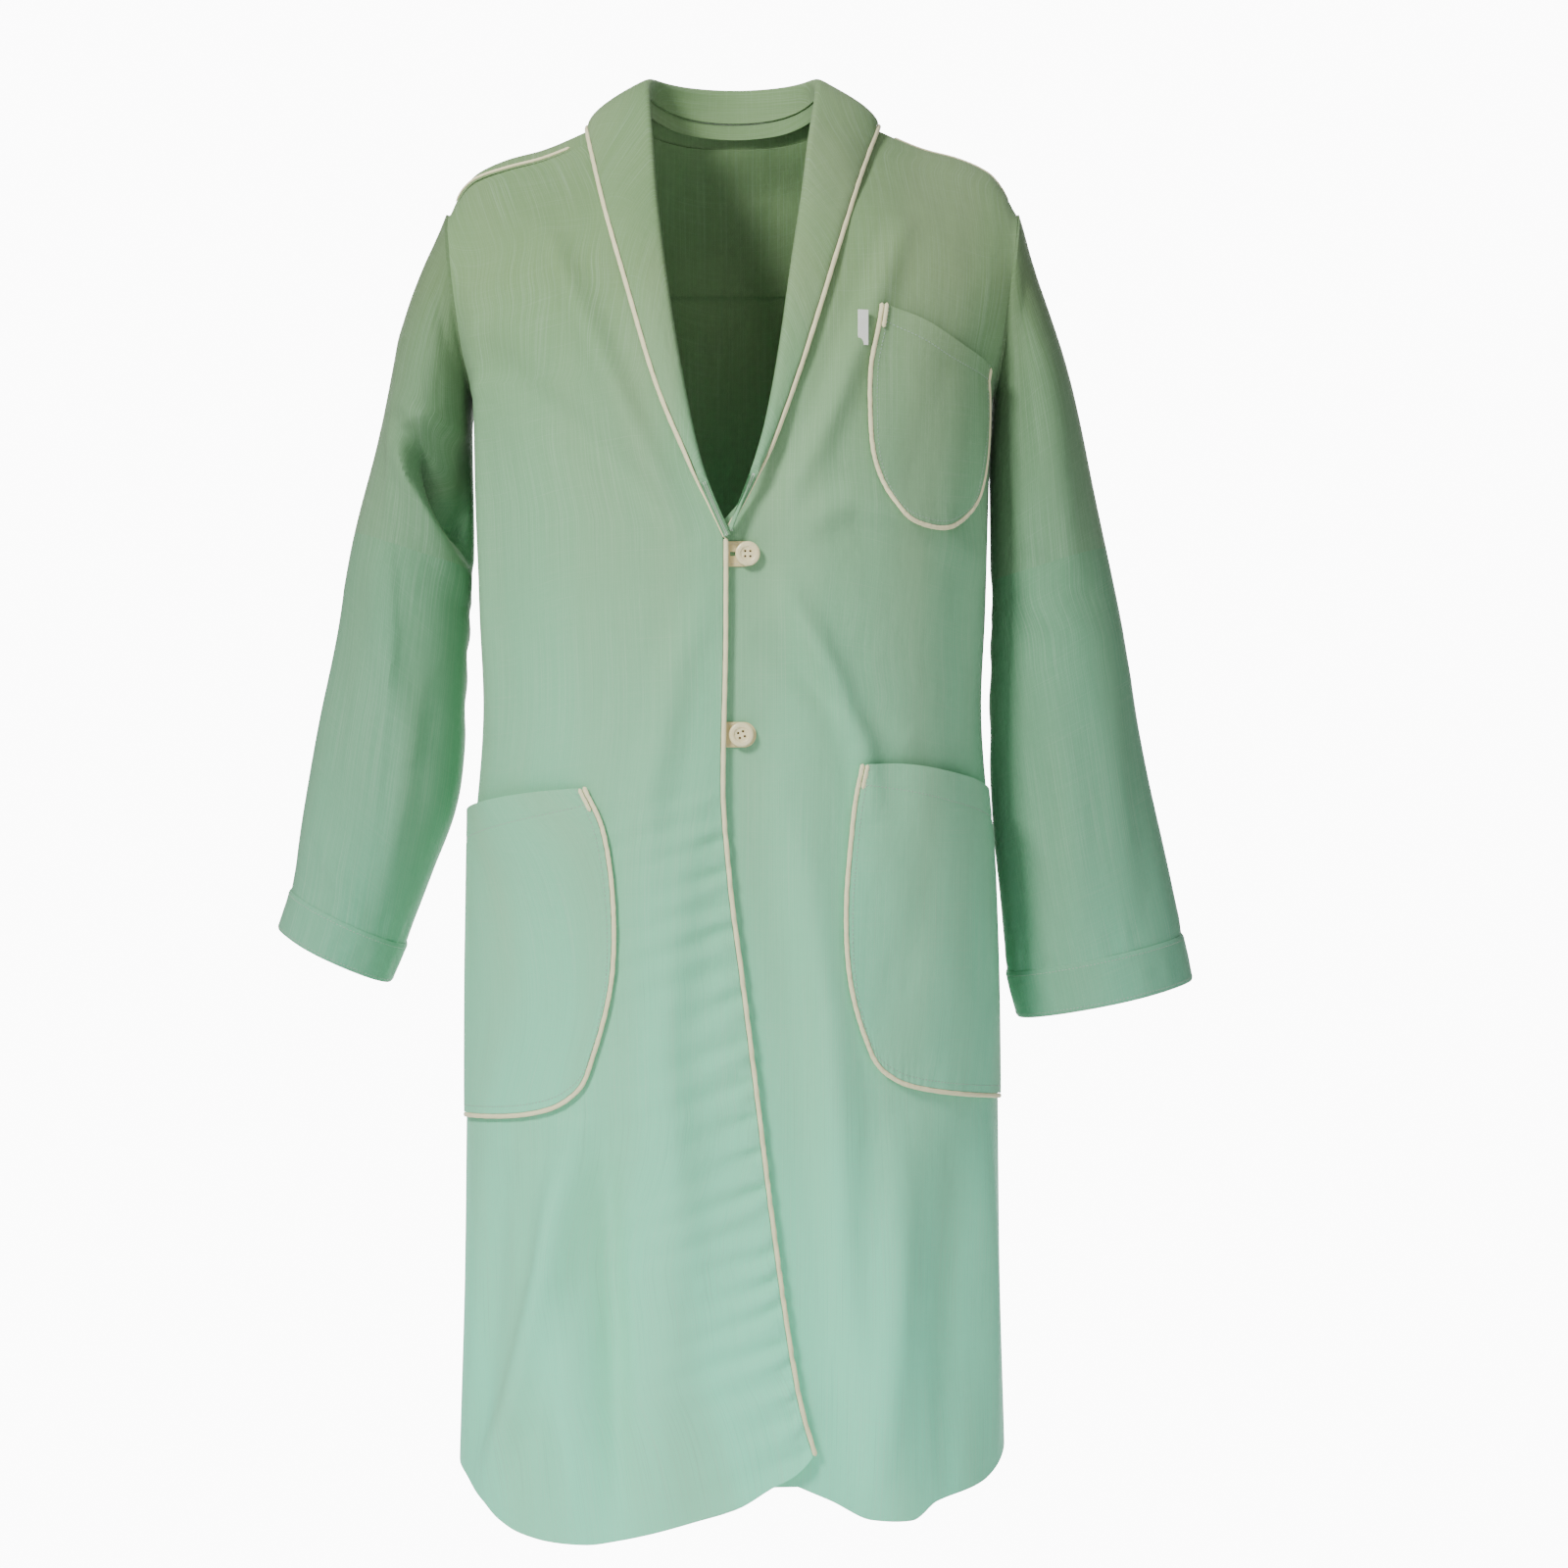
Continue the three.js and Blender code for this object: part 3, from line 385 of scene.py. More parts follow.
# Each fold: its path over the front, its half width, its height and its lean.
FRONT_FOLDS = [
    # drag lines from the break of the lapels up towards the chest
    ([(-28, -352), (-75, -250), (-120, -150), (-150, -90)], 13, 3.2, 0.5),
    ([(-20, -362), (-80, -300), (-150, -235), (-190, -190)], 15, -2.6, 0.3),
    ([(26, -352), (70, -262), (105, -170), (130, -100)], 12, 3.0, -0.5),
    ([(34, -360), (90, -330), (150, -345), (188, -380)], 14, 2.2, 0.6),
    # folds that hang from the buttons
    ([(-8, -372), (-40, -440), (-62, -540), (-60, -680)], 15, 2.6, 0.5),
    ([(-6, -500), (-28, -590), (-40, -720), (-20, -900)], 16, 2.6, -0.4),
    ([(24, -370), (60, -430), (92, -500), (100, -560)], 11, 3.0, 0.6),
    ([(22, -500), (46, -580), (66, -700), (80, -900), (95, -1050)], 17, 3.4, 0.6),
    ([(18, -420), (70, -468), (130, -500)], 12, -2.0, 0.2),
    # the turn beside each sleeve
    ([(-196, -150), (-199, -260), (-192, -400), (-186, -500)], 12, 2.8, 0.7),
    ([(192, -200), (194, -330), (186, -450), (180, -520)], 12, 2.4, -0.7),
    # below the right pocket a pale ridge runs to the hem and fans out
    ([(-118, -770), (-132, -880), (-158, -980), (-190, -1060)], 15, 6.4, 0.6),
    ([(-125, -800), (-112, -920), (-108, -1085)], 19, 4.6, -0.4),
    ([(-96, -760), (-90, -880), (-82, -1070)], 12, -4.0, 0.5),
    ([(-172, -800), (-180, -920), (-196, -1060)], 12, -2.6, 0.3),
    ([(-60, -700), (-48, -860), (-52, -1075)], 24, 3.0, 0.3),
    # the left skirt
    ([(128, -770), (124, -900), (112, -1070)], 18, 4.0, -0.4),
    ([(168, -780), (158, -920), (158, -1070)], 16, -3.4, 0.3),
    ([(190, -780), (196, -920), (200, -1050)], 13, 3.0, 0.4),
]
FOLD_STRENGTH = 2.3
BACK_FOLDS = [
    ([(-150, -90), (-110, -260), (-96, -480)], 20, 4.0, 0.4),
    ([(140, -90), (108, -280), (104, -500)], 20, 4.0, -0.4),
    ([(-30, -60), (-18, -300), (-26, -620)], 26, 2.4, 0.2),
    ([(-120, -500), (-108, -760), (-132, -1060)], 24, 6.0, 0.4),
    ([(-30, -560), (-40, -800), (-22, -1060)], 22, 4.5, -0.3),
    ([(62, -520), (70, -780), (52, -1060)], 23, 5.5, 0.3),
    ([(140, -480), (146, -760), (160, -1060)], 22, 5.5, -0.4),
    ([(-176, -560), (-184, -800), (-190, -1040)], 16, -3.6, 0.3),
]


BUTTONS = {"upper": (13.8, -364.5, 0.0), "lower": (9.3, -495.4, 20.0)}
LAPEL_BREAK = -354
lapel_edge = smooth([[LAPEL_BREAK, 0], [-304, 24], [-250, 51], [-176, 73], [-100, 95], [-40, 108], [0, 112]])


def front_relief(x, z):
    """How far folds and waves stand off the smooth front, in millimetres. It fades out at the shoulders
    and the side seams, where the front is sewn."""
    total = waves(x, z, 3, 210, 70, 1.5, 2.2) + waves(x, z, 8, 60, 22, 0.22, 2.5)
    for path, width, height, lean in FRONT_FOLDS:
        total = total + fold(x, z, path, width, height * FOLD_STRENGTH, lean)
    held = ease((half_width(z) - np.abs(x)) / 16) * ease((-28 - z) / 60)
    for bx, bz, _ in BUTTONS.values():
        total = total * ease((np.hypot(x - bx, z - bz) - 14) / 34)
    under_lapel = np.where(z > LAPEL_BREAK, ease((np.abs(x) - lapel_edge(z) + 14) / 40), 1)
    return total * held * under_lapel


def back_relief(x, z):
    """The same for the back, which hangs free below the shoulder blades."""
    total = waves(x, z, 5, 240, 80, 2.0, 2.4) + waves(x, z, 9, 60, 25, 0.25, 2.5)
    for path, width, height, lean in BACK_FOLDS:
        total = total + fold(x, z, path, width, height, lean)
    held = ease((half_width(z) - np.abs(x)) / 18) * ease((-20 - z) / 70)
    return total * held


print(len(FRONT_FOLDS), "folds in front and", len(BACK_FOLDS), "behind")

# %% [markdown]
# ## Finishes
# The cloth is a mint poplin with slubs: now and then a thread is thicker, which draws a fine upright
# streak. The streaks come from noise stretched a hundred times along the cloth's own length, and the weave
# is two crossed waves, both on the UV map in metres. The colour runs with height, darker and more olive at
# the shoulders and paler and bluer at the hem. This is painted shade above and painted light below, on cloth
# of one colour. The sleeves have the same cloth made darker, which is painted shade.

# %% A material helper
def new_material(name, colour, roughness, sheen=0.0, coat=0.0, specular=0.5):
    """A principled material, with its even values on the shader's own sockets."""
    material = bpy.data.materials.new(name)
    material.use_nodes = True
    shader = material.node_tree.nodes["Principled BSDF"]
    shader.inputs["Base Color"].default_value = (*colour, 1)
    shader.inputs["Roughness"].default_value = roughness
    shader.inputs["Sheen Weight"].default_value = sheen
    shader.inputs["Sheen Roughness"].default_value = 0.45
    shader.inputs["Coat Weight"].default_value = coat
    shader.inputs["Coat Roughness"].default_value = 0.15
    shader.inputs["Specular IOR Level"].default_value = specular
    return material, shader


class Nodes:
    """Short names for adding and joining nodes in one material."""

    def __init__(self, material, coordinates):
        self.tree = material.node_tree
        source = self.tree.nodes.new("ShaderNodeTexCoord")
        self.place = source.outputs[coordinates]

    def node(self, kind, inputs=(), **settings):
        made = self.tree.nodes.new("ShaderNode" + kind)
        for key, value in settings.items():
            setattr(made, key, value)
        for key, value in dict(inputs).items():
            if isinstance(value, bpy.types.NodeSocket):
                self.tree.links.new(value, made.inputs[key])
            else:
                made.inputs[key].default_value = value
        return made

    def stretched(self, scale, source=None, turn=0.0):
        """Coordinates scaled by three numbers, after a turn about Z in degrees."""
        return self.node("Mapping", {
            "Vector": source or self.place, "Scale": scale, "Rotation": (0, 0, math.radians(turn)),
        }).outputs["Vector"]

    def noise(self, scale, source=None, detail=2.0, rough=0.5):
        vector = self.stretched(scale, source)
        return self.node("TexNoise", {
            "Vector": vector, "Scale": 1.0, "Detail": detail, "Roughness": rough,
        }).outputs["Fac"]

    def math(self, operation, a, b=0.0):
        return self.node("Math", {0: a, 1: b}, operation=operation).outputs[0]

    def ramp(self, value, low, high, to_low=0.0, to_high=1.0):
        return self.node("MapRange", {
            "Value": value, "From Min": low, "From Max": high, "To Min": to_low, "To Max": to_high,
        }).outputs["Result"]

    def mix(self, share, a, b):
        made = self.node("Mix", {"Factor": share}, data_type="RGBA")
        for key, value in ((6, a), (7, b)):
            if isinstance(value, bpy.types.NodeSocket):
                self.tree.links.new(value, made.inputs[key])
            else:
                made.inputs[key].default_value = (*value, 1)
        return made.outputs[2]

    def join(self, output, socket):
        self.tree.links.new(output, socket)


# %% Mint cloth
# The dark olive top colour is painted shade and the pale mint hem colour is painted light; the cloth itself
# is one colour.
MINT_PAINTED_SHADE_TOP = (0.186, 0.316, 0.140)
MINT_PAINTED_LIGHT_HEM = (0.250, 0.900, 0.600)
OLIVE = (0.33, 0.41, 0.24)
THREAD_PITCH = 0.00052
WAVE_SCALE = 0.314


def weave_height(n, pitch):
    """Warp and weft as two crossed waves, each stronger where the other dips, as in a plain weave."""
    heights = []
    for turn in (0, 90):
        vector = n.stretched((1 / pitch, 1 / pitch, 1), turn=turn)
        wave = n.node("TexWave", {"Vector": vector, "Scale": WAVE_SCALE, "Distortion": 0.6, "Detail": 1.0})
        heights.append(wave.outputs["Fac"])
    return n.math("ADD", *heights)


def mint_cloth(name, painted_shade_tint=1.0):
    """Mint poplin with upright slub streaks and a fine weave. The base colour runs from olive at the
    shoulders to mint at the hem, by height in the piece's own Object coordinates. That is painted shade at
    the top and painted light at the hem, on cloth of one colour. A factor below one darkens all of it, which
    paints shade on the sleeves."""
    material, shader = new_material(name, MINT_PAINTED_SHADE_TOP, 0.82, sheen=0.08, specular=0.2)
    n = Nodes(material, "UV")
    body = n.node("TexCoord").outputs["Object"]
    height = n.node("SeparateXYZ", {0: body}).outputs["Z"]
    # The share of painted light at the hem against painted shade at the shoulders, by height.
    low = n.ramp(height, -0.15, -0.95)
    base = n.mix(low, [c * painted_shade_tint for c in MINT_PAINTED_SHADE_TOP], [c * painted_shade_tint for c in MINT_PAINTED_LIGHT_HEM])
    slub = n.ramp(n.noise((1500, 7, 1), detail=3.0, rough=0.6), 0.50, 0.74)
    dark = n.ramp(n.noise((1900, 9, 1), detail=2.0), 0.56, 0.80)
    cross = n.ramp(n.noise((14, 1300, 1), detail=2.0), 0.56, 0.80)
    patch = n.ramp(n.noise((9, 1.6, 1), detail=2.0), 0.42, 0.66)
    paler = n.mix(n.math("MULTIPLY", slub, 0.26), base, (0.52, 0.72, 0.55))
    deeper = n.mix(n.math("MULTIPLY", dark, 0.30), paler, (0.12, 0.27, 0.17))
    crossed = n.mix(n.math("MULTIPLY", cross, 0.14), deeper, (0.50, 0.68, 0.52))
    patched = n.mix(n.math("MULTIPLY", patch, 0.30), crossed, [c * painted_shade_tint for c in OLIVE])
    n.join(patched, shader.inputs["Base Color"])
    weave = n.math("ADD", weave_height(n, THREAD_PITCH), n.math("MULTIPLY", slub, 1.2))
    crumple = n.noise((55, 30, 1), detail=3.0)
    fine = n.node("Bump", {"Height": weave, "Strength": 0.22, "Distance": 0.00012})
    bump = n.node("Bump", {
        "Height": crumple, "Strength": 0.45, "Distance": 0.0022, "Normal": fine.outputs[0],
    })
    n.join(bump.outputs[0], shader.inputs["Normal"])
    return material


mint = mint_cloth("mint_poplin")
# The sleeves and cuffs get the same cloth darkened to 0.68 of its colour: painted shade.
mint_sleeve_painted_shade = mint_cloth("mint_poplin_sleeve_painted_shade", painted_shade_tint=0.68)
print("cloth thread pitch", THREAD_PITCH * 1000, "mm")

# %% [markdown]
# The piping is a cord in a bias-cut ivory strip, so its weave runs aslant. The buttons are cast resin:
# warm, slightly clouded, with a polished skin. The thread shows its twist, and the lining cloth is plain.

# %% Ivory, resin, thread and lining
def ivory_cloth(name, colour, pitch, turn):
    """Cotton with a slanting weave and a little soil."""
    material, shader = new_material(name, colour, 0.82, sheen=0.25, specular=0.3)
    n = Nodes(material, "UV")
    vector = n.stretched((1 / pitch, 1 / pitch, 1), turn=turn)
    wave = n.node("TexWave", {"Vector": vector, "Scale": WAVE_SCALE, "Distortion": 0.8, "Detail": 1.0})
    wave = wave.outputs["Fac"]
    soil = n.ramp(n.noise((60, 60, 1), detail=4.0), 0.35, 0.75)
    shade = n.mix(n.math("MULTIPLY", soil, 0.35), colour, [c * f for c, f in zip(colour, (0.88, 0.82, 0.72))])
    n.join(n.mix(n.math("MULTIPLY", wave, 0.10), shade, (0.52, 0.46, 0.36)), shader.inputs["Base Color"])
    bump = n.node("Bump", {"Height": wave, "Strength": 0.35, "Distance": 0.00015})
    n.join(bump.outputs[0], shader.inputs["Normal"])
    return material


def cream_resin():
    """Cast resin: clouded cream under a thin polished skin, a little rougher where it has been handled."""
    colour = (0.86, 0.76, 0.44)
    material, shader = new_material("cream_resin", colour, 0.34, coat=0.5)
    shader.inputs["Subsurface Weight"].default_value = 0.12
    shader.inputs["Subsurface Radius"].default_value = (0.002, 0.0015, 0.001)
    n = Nodes(material, "Object")
    cloud = n.noise((320, 320, 320), detail=3.0)
    n.join(n.mix(n.ramp(cloud, 0.35, 0.7, 0, 0.5), colour, (0.92, 0.84, 0.55)), shader.inputs["Base Color"])
    n.join(n.ramp(n.noise((900, 900, 900)), 0.3, 0.7, 0.26, 0.42), shader.inputs["Roughness"])
    return material


def sewing_thread(name, colour):
    """Two-ply thread: slanting bands along its own run."""
    material, shader = new_material(name, colour, 0.6, sheen=0.15)
    n = Nodes(material, "Object")
    ply = n.noise((2600, 2600, 2600), detail=1.0)
    shade = n.mix(n.ramp(ply, 0.3, 0.7, 0, 0.4), colour, [c * 0.6 for c in colour])
    n.join(shade, shader.inputs["Base Color"])
    return material


def plain_lining(name, colour):
    """A matt non-woven cloth: fibres as fine noise in every direction."""
    material, shader = new_material(name, colour, 0.9)
    n = Nodes(material, "Object")
    fibre = n.noise((900, 900, 900), detail=4.0)
    shade = n.mix(n.ramp(fibre, 0.3, 0.7, 0, 0.4), colour, [c * 0.78 for c in colour])
    n.join(shade, shader.inputs["Base Color"])
    bump = n.node("Bump", {"Height": fibre, "Strength": 0.3, "Distance": 0.0002})
    n.join(bump.outputs[0], shader.inputs["Normal"])
    return material


IVORY = (0.93, 0.88, 0.56)
ivory = ivory_cloth("ivory_bias_cotton", IVORY, 0.0005, 45)
tab_cotton = ivory_cloth("ivory_tab_cotton", (0.76, 0.64, 0.34), 0.0005, 0)
resin = cream_resin()
ivory_thread = sewing_thread("ivory_thread", (0.72, 0.66, 0.53))
# Near-black thread: painted shade inside the button holes.
knot_thread_painted_shade = sewing_thread("knot_thread_painted_shade", (0.20, 0.15, 0.08))
mint_thread = sewing_thread("mint_thread", (0.36, 0.50, 0.40))
lining = plain_lining("non_woven_interfacing", (0.70, 0.71, 0.67))
label_tape = ivory_cloth("white_label_tape", (0.74, 0.78, 0.76), 0.0004, 0)
print(len(bpy.data.materials), "finishes")

# %% [markdown]
# ## The fronts
# A front runs across from its front edge to the side seam, and up from the hem to the shoulder. Its rows
# lean so that they meet the front edge, the armhole and the shoulder where the pattern piece does. The
# right front is one piece of cloth from hem to shoulder, although its lower corner folds back, so here it
# is a single grid. It doesn't bend across the fold line.

# %% A front from its edges
def front_points(side, columns, rows, edge, edge_heights, side_heights, hem, inset):
    """Rows run from the front edge at u = 0 to the side seam or armhole at u = 1. The height is shared
    between the two ends, then pulled to the hem's curve at the bottom and the shoulder's at the top."""
    u, v = grid(columns, rows)
    low, flank = edge_heights(v), side_heights(v)
    arm_x, arm_y, arm_z = armhole(1 - (np.maximum(v, ARMHOLE_FROM) - ARMHOLE_FROM) / (1 - ARMHOLE_FROM))
    above = v > ARMHOLE_FROM
    ends = ((arm_x, half_width(flank)), (arm_y, 0), (arm_z, flank))
    end_x, end_y, end_z = (np.where(above, a, b) for a, b in ends)
    to = angle_of(end_x, end_z)
    angle = lerp(angle_of(edge(low), low), to, u)
    z = lerp(low, end_z, u)
    x, _ = torso(angle, z, front_depth)
    hem_row = lerp(edge_heights(0.0), side_heights(0.0), u)
    z = z + (hem(x) - hem_row) * np.maximum(0, 1 - v / 0.35) ** 2
    z = z + (seam_height(x, side) - lerp(0, TIP[1], u)) * ease((v - 0.8) / 0.2) ** 2
    x, deep = torso(angle, z, front_depth)
    deep = deep + (end_y - torso(to, end_z, front_depth)[1]) * u**6 - inset(x, z)
    return np.stack([side * x, -np.maximum(deep, 0) - GAP, z], axis=-1)


def relieved(points, extra=0.0):
    """Moves a front grid out along its normals by its folds and waves, and by anything extra."""
    relief = front_relief(points[..., 0], points[..., 2]) + extra
    moved = points + normals_of(points) * relief[..., None]
    moved[..., 1] = np.minimum(moved[..., 1], -GAP)
    return moved


def in_front(points):
    """Holds points in front of the side and shoulder seams."""
    return np.stack([points[..., 0], np.minimum(points[..., 1], -GAP), points[..., 2]], axis=-1)


front_edge_x = smooth([
    [-1010, 65], [-955, 52], [-848, 35], [-742, 21], [-672, 12], [-602, 3], [-531, -2], [-411, 0], [-354, 0],
])
right_roll = smooth([
    [-354, PIPED_EDGE], [-302, 25], [-265, 34], [-224, 41], [-140, 54], [-84, 60], [-47, 64], [-16, 67],
    [0, NECK_HALF],
])
left_edge = smooth([
    [-1040, 15], [-740, -10], [-500, -30], [-400, -30], [-354, -14], [-320, 12], [-280, 29], [-218, 41],
    [-141, 54], [-68, 65], [-29, 71], [0, NECK_HALF + 4],
])


def right_edge(z):
    """The right front's cloth ends at the roll line above the top button, and short of the piping below."""
    return np.where(z < LAPEL_BREAK, -front_edge_x(z) + PIPED_EDGE, right_roll(z))


right_hem = smooth([
    [-65, -1009], [-48, -1026], [-31, -1035], [-7, -1049], [23, -1058], [77, -1073], [102, -1078],
    [130, -1079], [151, -1077], [169, -1071], [186, -1060], [203, -1051], [212, -1050],
])
left_hem = smooth([
    [50, -1036], [74, -1047], [103, -1062], [133, -1065], [153, -1055], [189, -1051], [212, -1040],
])
FRONT_COLUMNS, FRONT_ROWS = 100, 430
right_plain = front_points(
    -1, FRONT_COLUMNS, FRONT_ROWS, right_edge,
    smooth([[0, -1009], [0.3, -740], [0.55, -515], [0.66, -354], [0.8, -180], [0.92, -50], [1, 0]]),
    smooth([[0, -1051], [0.3, -730], [0.55, -455], [0.66, -300], [ARMHOLE_FROM, -228], [1, -228]]),
    right_hem, lambda x, z: 0 * x,
)
left_plain = front_points(
    1, FRONT_COLUMNS, FRONT_ROWS, left_edge,
    smooth([[0, -1036], [0.3, -750], [0.55, -500], [0.66, -354], [0.8, -180], [0.92, -50], [1, 0]]),
    smooth([[0, -1040], [0.3, -730], [0.55, -455], [0.66, -300], [ARMHOLE_FROM, -228], [1, -228]]),
    left_hem, lambda x, z: UNDERLAP * ease((front_edge_x(z) + 72 - x) / 50) * ease((-235 - z) / 65),
)


def edge_puckers(points, from_z, to_z):
    """Small gathers beside a piped edge: short waves along the edge, which die out some 50 mm into the cloth
    and come only between two heights."""
    inwards = lengths(points, 1) / MM
    z = points[..., 2]
    slant = z + 0.35 * inwards
    near = np.sin(slant / 2.3 + 2.5 * np.sin(z / 31)) * 0.45 * np.exp(-inwards / 14)
    wave = near + 0.75 * np.sin(slant / 3.9 + 2 * np.sin(z / 47))
    reach = 26 + 22 * np.sin(slant / 31) ** 2
    held = ease((from_z - z) / 60) * ease((z - to_z) / 20) * ease(inwards / 2.5 + 0.3)
    return 3.2 * wave * np.exp(-inwards / reach) * held


right_points = relieved(right_plain, extra=edge_puckers(right_plain, -520, -1060))
left_points = relieved(left_plain)
right_front = shell("right_front", right_points, -CLOTH, 0, keep=in_front)
left_front = shell("left_front", left_points, -CLOTH, 0, keep=in_front)
for piece, points in ((right_front, right_plain), (left_front, left_plain)):
    dress(piece, mint, "mint_cloth")
    declare(piece, points)

FOLD_MIDDLE = np.array([-62.5, -168, -797.5])
FOLD_ACROSS = np.array([0.986, 0, -0.166])
BEND_HALF = 9.0
fold_from, fold_to = (tuple((FOLD_MIDDLE + s * BEND_HALF * FOLD_ACROSS) * MM) for s in (-1, 1))


def across_fold(piece):
    """Bakes a piece's place into its points. It doesn't turn the cloth across the fold line."""
    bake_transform(piece)
    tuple(fold_from)
    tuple(fold_to)


across_fold(right_front)
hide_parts("right_front_panel", "right_skirt_flap")
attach(left_front, "torso")
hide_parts("left_front_panel")

# %% [markdown]
# Behind each front edge the cloth is doubled by a facing, with an interfacing between to stiffen it. They
# are strips of the same grid at deeper levels, so the layers can't cut through one another.

# %% Facings and interfacings
FACING_SHARE = 0.27


def strips(side, points, top_row):
    """The interfacing and the facing of one front, as layers of its first columns."""
    last = int(FACING_SHARE * FRONT_COLUMNS)
    rows = slice(2, top_row)
    part, normals = points[rows, : last + 1], normals_of(points)[rows, : last + 1]
    made = []
    for kind, inner, outer, finish, slot in (
        ("interfacing", -2.0, -1.5, lining, "interfacing"), ("facing", -3.1, -2.3, mint, "mint_cloth"),
    ):
        piece = shell(f"{side}_{kind}", part, inner, outer, normals=normals, keep=in_front)
        dress(piece, finish, slot)
        declare(piece, part)
        made.append(piece)
    return made


for side, points in (("right", right_points), ("left", left_points)):
    for piece, kind in zip(strips(side, points, FRONT_ROWS - 4), ("interfacing", "facing")):
        if side == "right":
            across_fold(piece)
            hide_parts(f"right_front_{kind}", f"right_skirt_{kind}")
        else:
            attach(piece, "torso")
            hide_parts(f"left_front_{kind}")

# %% [markdown]
# ## The back
# The back is one piece, plain, with no yoke. On the wearer's right its shoulder runs over the ridge to a
# seam on the front. Here a separate strip of back cloth carries it on past the ridge.

# %% The back panel
back_heights = smooth([[0, -1050], [0.3, -730], [0.55, -455], [0.66, -300], [ARMHOLE_FROM, -228], [1, -228]])
back_middle = smooth([[0, -1052], [0.3, -730], [0.55, -455], [0.66, -330], [0.8, -190], [0.92, -60], [1, -4]])


def over_shoulder(x, share):
    """A point in front of the ridge, at a share of the right seam's depth."""
    top = ridge(x)
    full = np.maximum(np.cos(angle_of(x, top)), 0) ** (2 / ROUNDNESS) * front_depth(top)
    drop = np.minimum(share * right_seam_depth(x) / np.maximum(full, 1), 1)
    return -share * (right_seam_depth(x) - 1.2), top - SHOULDER_FALL * (1 - np.sqrt(1 - drop ** (4 / 3)))


def back_points(columns, rows):
    """u runs from the right side seam to the left, v from the hem to the neck and shoulders."""
    u, v = grid(columns, rows)
    side, t = np.where(u < 0.5, -1, 1), np.abs(2 * u - 1)
    arm_x, arm_y, arm_z = armhole(1 - (np.maximum(v, ARMHOLE_FROM) - ARMHOLE_FROM) / (1 - ARMHOLE_FROM))
    above, flank = v > ARMHOLE_FROM, back_heights(v)
    ends = ((arm_x, half_width(flank)), (arm_y, 0), (arm_z, flank))
    end_x, end_y, end_z = (np.where(above, a, b) for a, b in ends)
    to = angle_of(end_x, end_z)
    z = lerp(back_middle(v), end_z, t * t)
    x, _ = torso(t * to, z, back_depth)
    neck = lerp(-4, 0, np.minimum(x / NECK_HALF, 1) ** 2)
    top = np.where(x < NECK_HALF, neck, ridge(x))
    z = z + (top - lerp(-4, TIP[1], t * t)) * ease((v - 0.75) / 0.25) ** 2
    x, deep = torso(t * to, z, back_depth)
    y = np.maximum(deep + (end_y - torso(to, end_z, back_depth)[1]) * t**6, 0) + GAP
    return np.stack([side * x, y, z], axis=-1)


def flange_points(columns, rows):
    """The strip of the back that runs over the right shoulder, from the ridge to the seam in front."""
    u, v = grid(columns, rows)
    x = lerp(NECK_HALF, TIP[0] - 1, u)
    y, z = over_shoulder(x, v)
    return np.stack([-x, y + GAP, z + 0.3 * np.sin(np.pi * v)], axis=-1)


BACK_COLUMNS, BACK_ROWS = 170, 240
back_plain = back_points(BACK_COLUMNS, BACK_ROWS)
back_normals = normals_of(back_plain)
back_relieved = back_plain + back_normals * back_relief(back_plain[..., 0], back_plain[..., 2])[..., None]


def behind(points):
    """Holds points behind the side and shoulder seams."""
    return np.stack([points[..., 0], np.maximum(points[..., 1], GAP), points[..., 2]], axis=-1)


back = shell("back", behind(back_relieved), -CLOTH, 0, keep=behind)
shoulder_flange = shell("back_shoulder_extension", flange_points(60, 8), -CLOTH, 0.05)
neck_rows = slice(int(0.86 * BACK_ROWS), BACK_ROWS - 3)
neck_columns = slice(int(0.33 * BACK_COLUMNS), int(0.67 * BACK_COLUMNS) + 1)
neck_part = behind(back_relieved)[neck_rows, neck_columns]
neck_normals = normals_of(back_relieved)[neck_rows, neck_columns]
neck_facing = shell("back_neck_lining", neck_part, -2.6, -1.6, normals=neck_normals)
for piece, points, nodes in (
    (back, back_plain, ["back_panel"]),
    (neck_facing, neck_part, ["back_neck_facing"]),
    (shoulder_flange, flange_points(60, 8), []),
):
    dress(piece, mint, "mint_cloth", "torso", *nodes)
    declare(piece, points)

# %% [markdown]
# ## Sleeves
# A sleeve is a tube of rings. Each ring is an ellipse between an outer and an inner wall, and it leans as
# the cuff does. The tube is made in two lengths that share a ring, the head and the rest, because a piece
# can bend across only one joint. Neither length is bound to a joint here.

# %% Sleeve tubes
SLEEVE_RINGS = {
    "right": (-1, [
        [223.6, -85, 204.6, -229.5, 62], [262, -188, 206.5, -262, 70], [284, -288, 206, -330, 68],
        [306, -385, 207, -406, 65], [328, -508, 217, -532, 61], [339, -566, 237, -600, 58],
        [346, -613, 257, -656, 55], [355, -644, 269, -686, 54],
    ]),
    "left": (1, [
        [223.6, -85, 204.6, -229.5, 62], [258, -196, 206, -262, 70], [281, -300, 206, -335, 69],
        [303, -398, 207, -418, 68], [329, -540, 209, -560, 68], [340, -596, 212, -622, 68],
        [351, -648, 216, -677, 68], [358, -684, 224, -713, 68],
    ]),
}
HEAD_TO, SEAM_RING, CUFF_END, SLEEVE_AROUND, TUCK = 2.5, 6.0, 7.0, 120, 0.08


def ring_values(side_name, t):
    """Outer and inner wall and half depth at ring t, which may lie between two rings."""
    return [smooth([[i, ring[k]] for i, ring in enumerate(SLEEVE_RINGS[side_name][1])])(t) for k in range(5)]


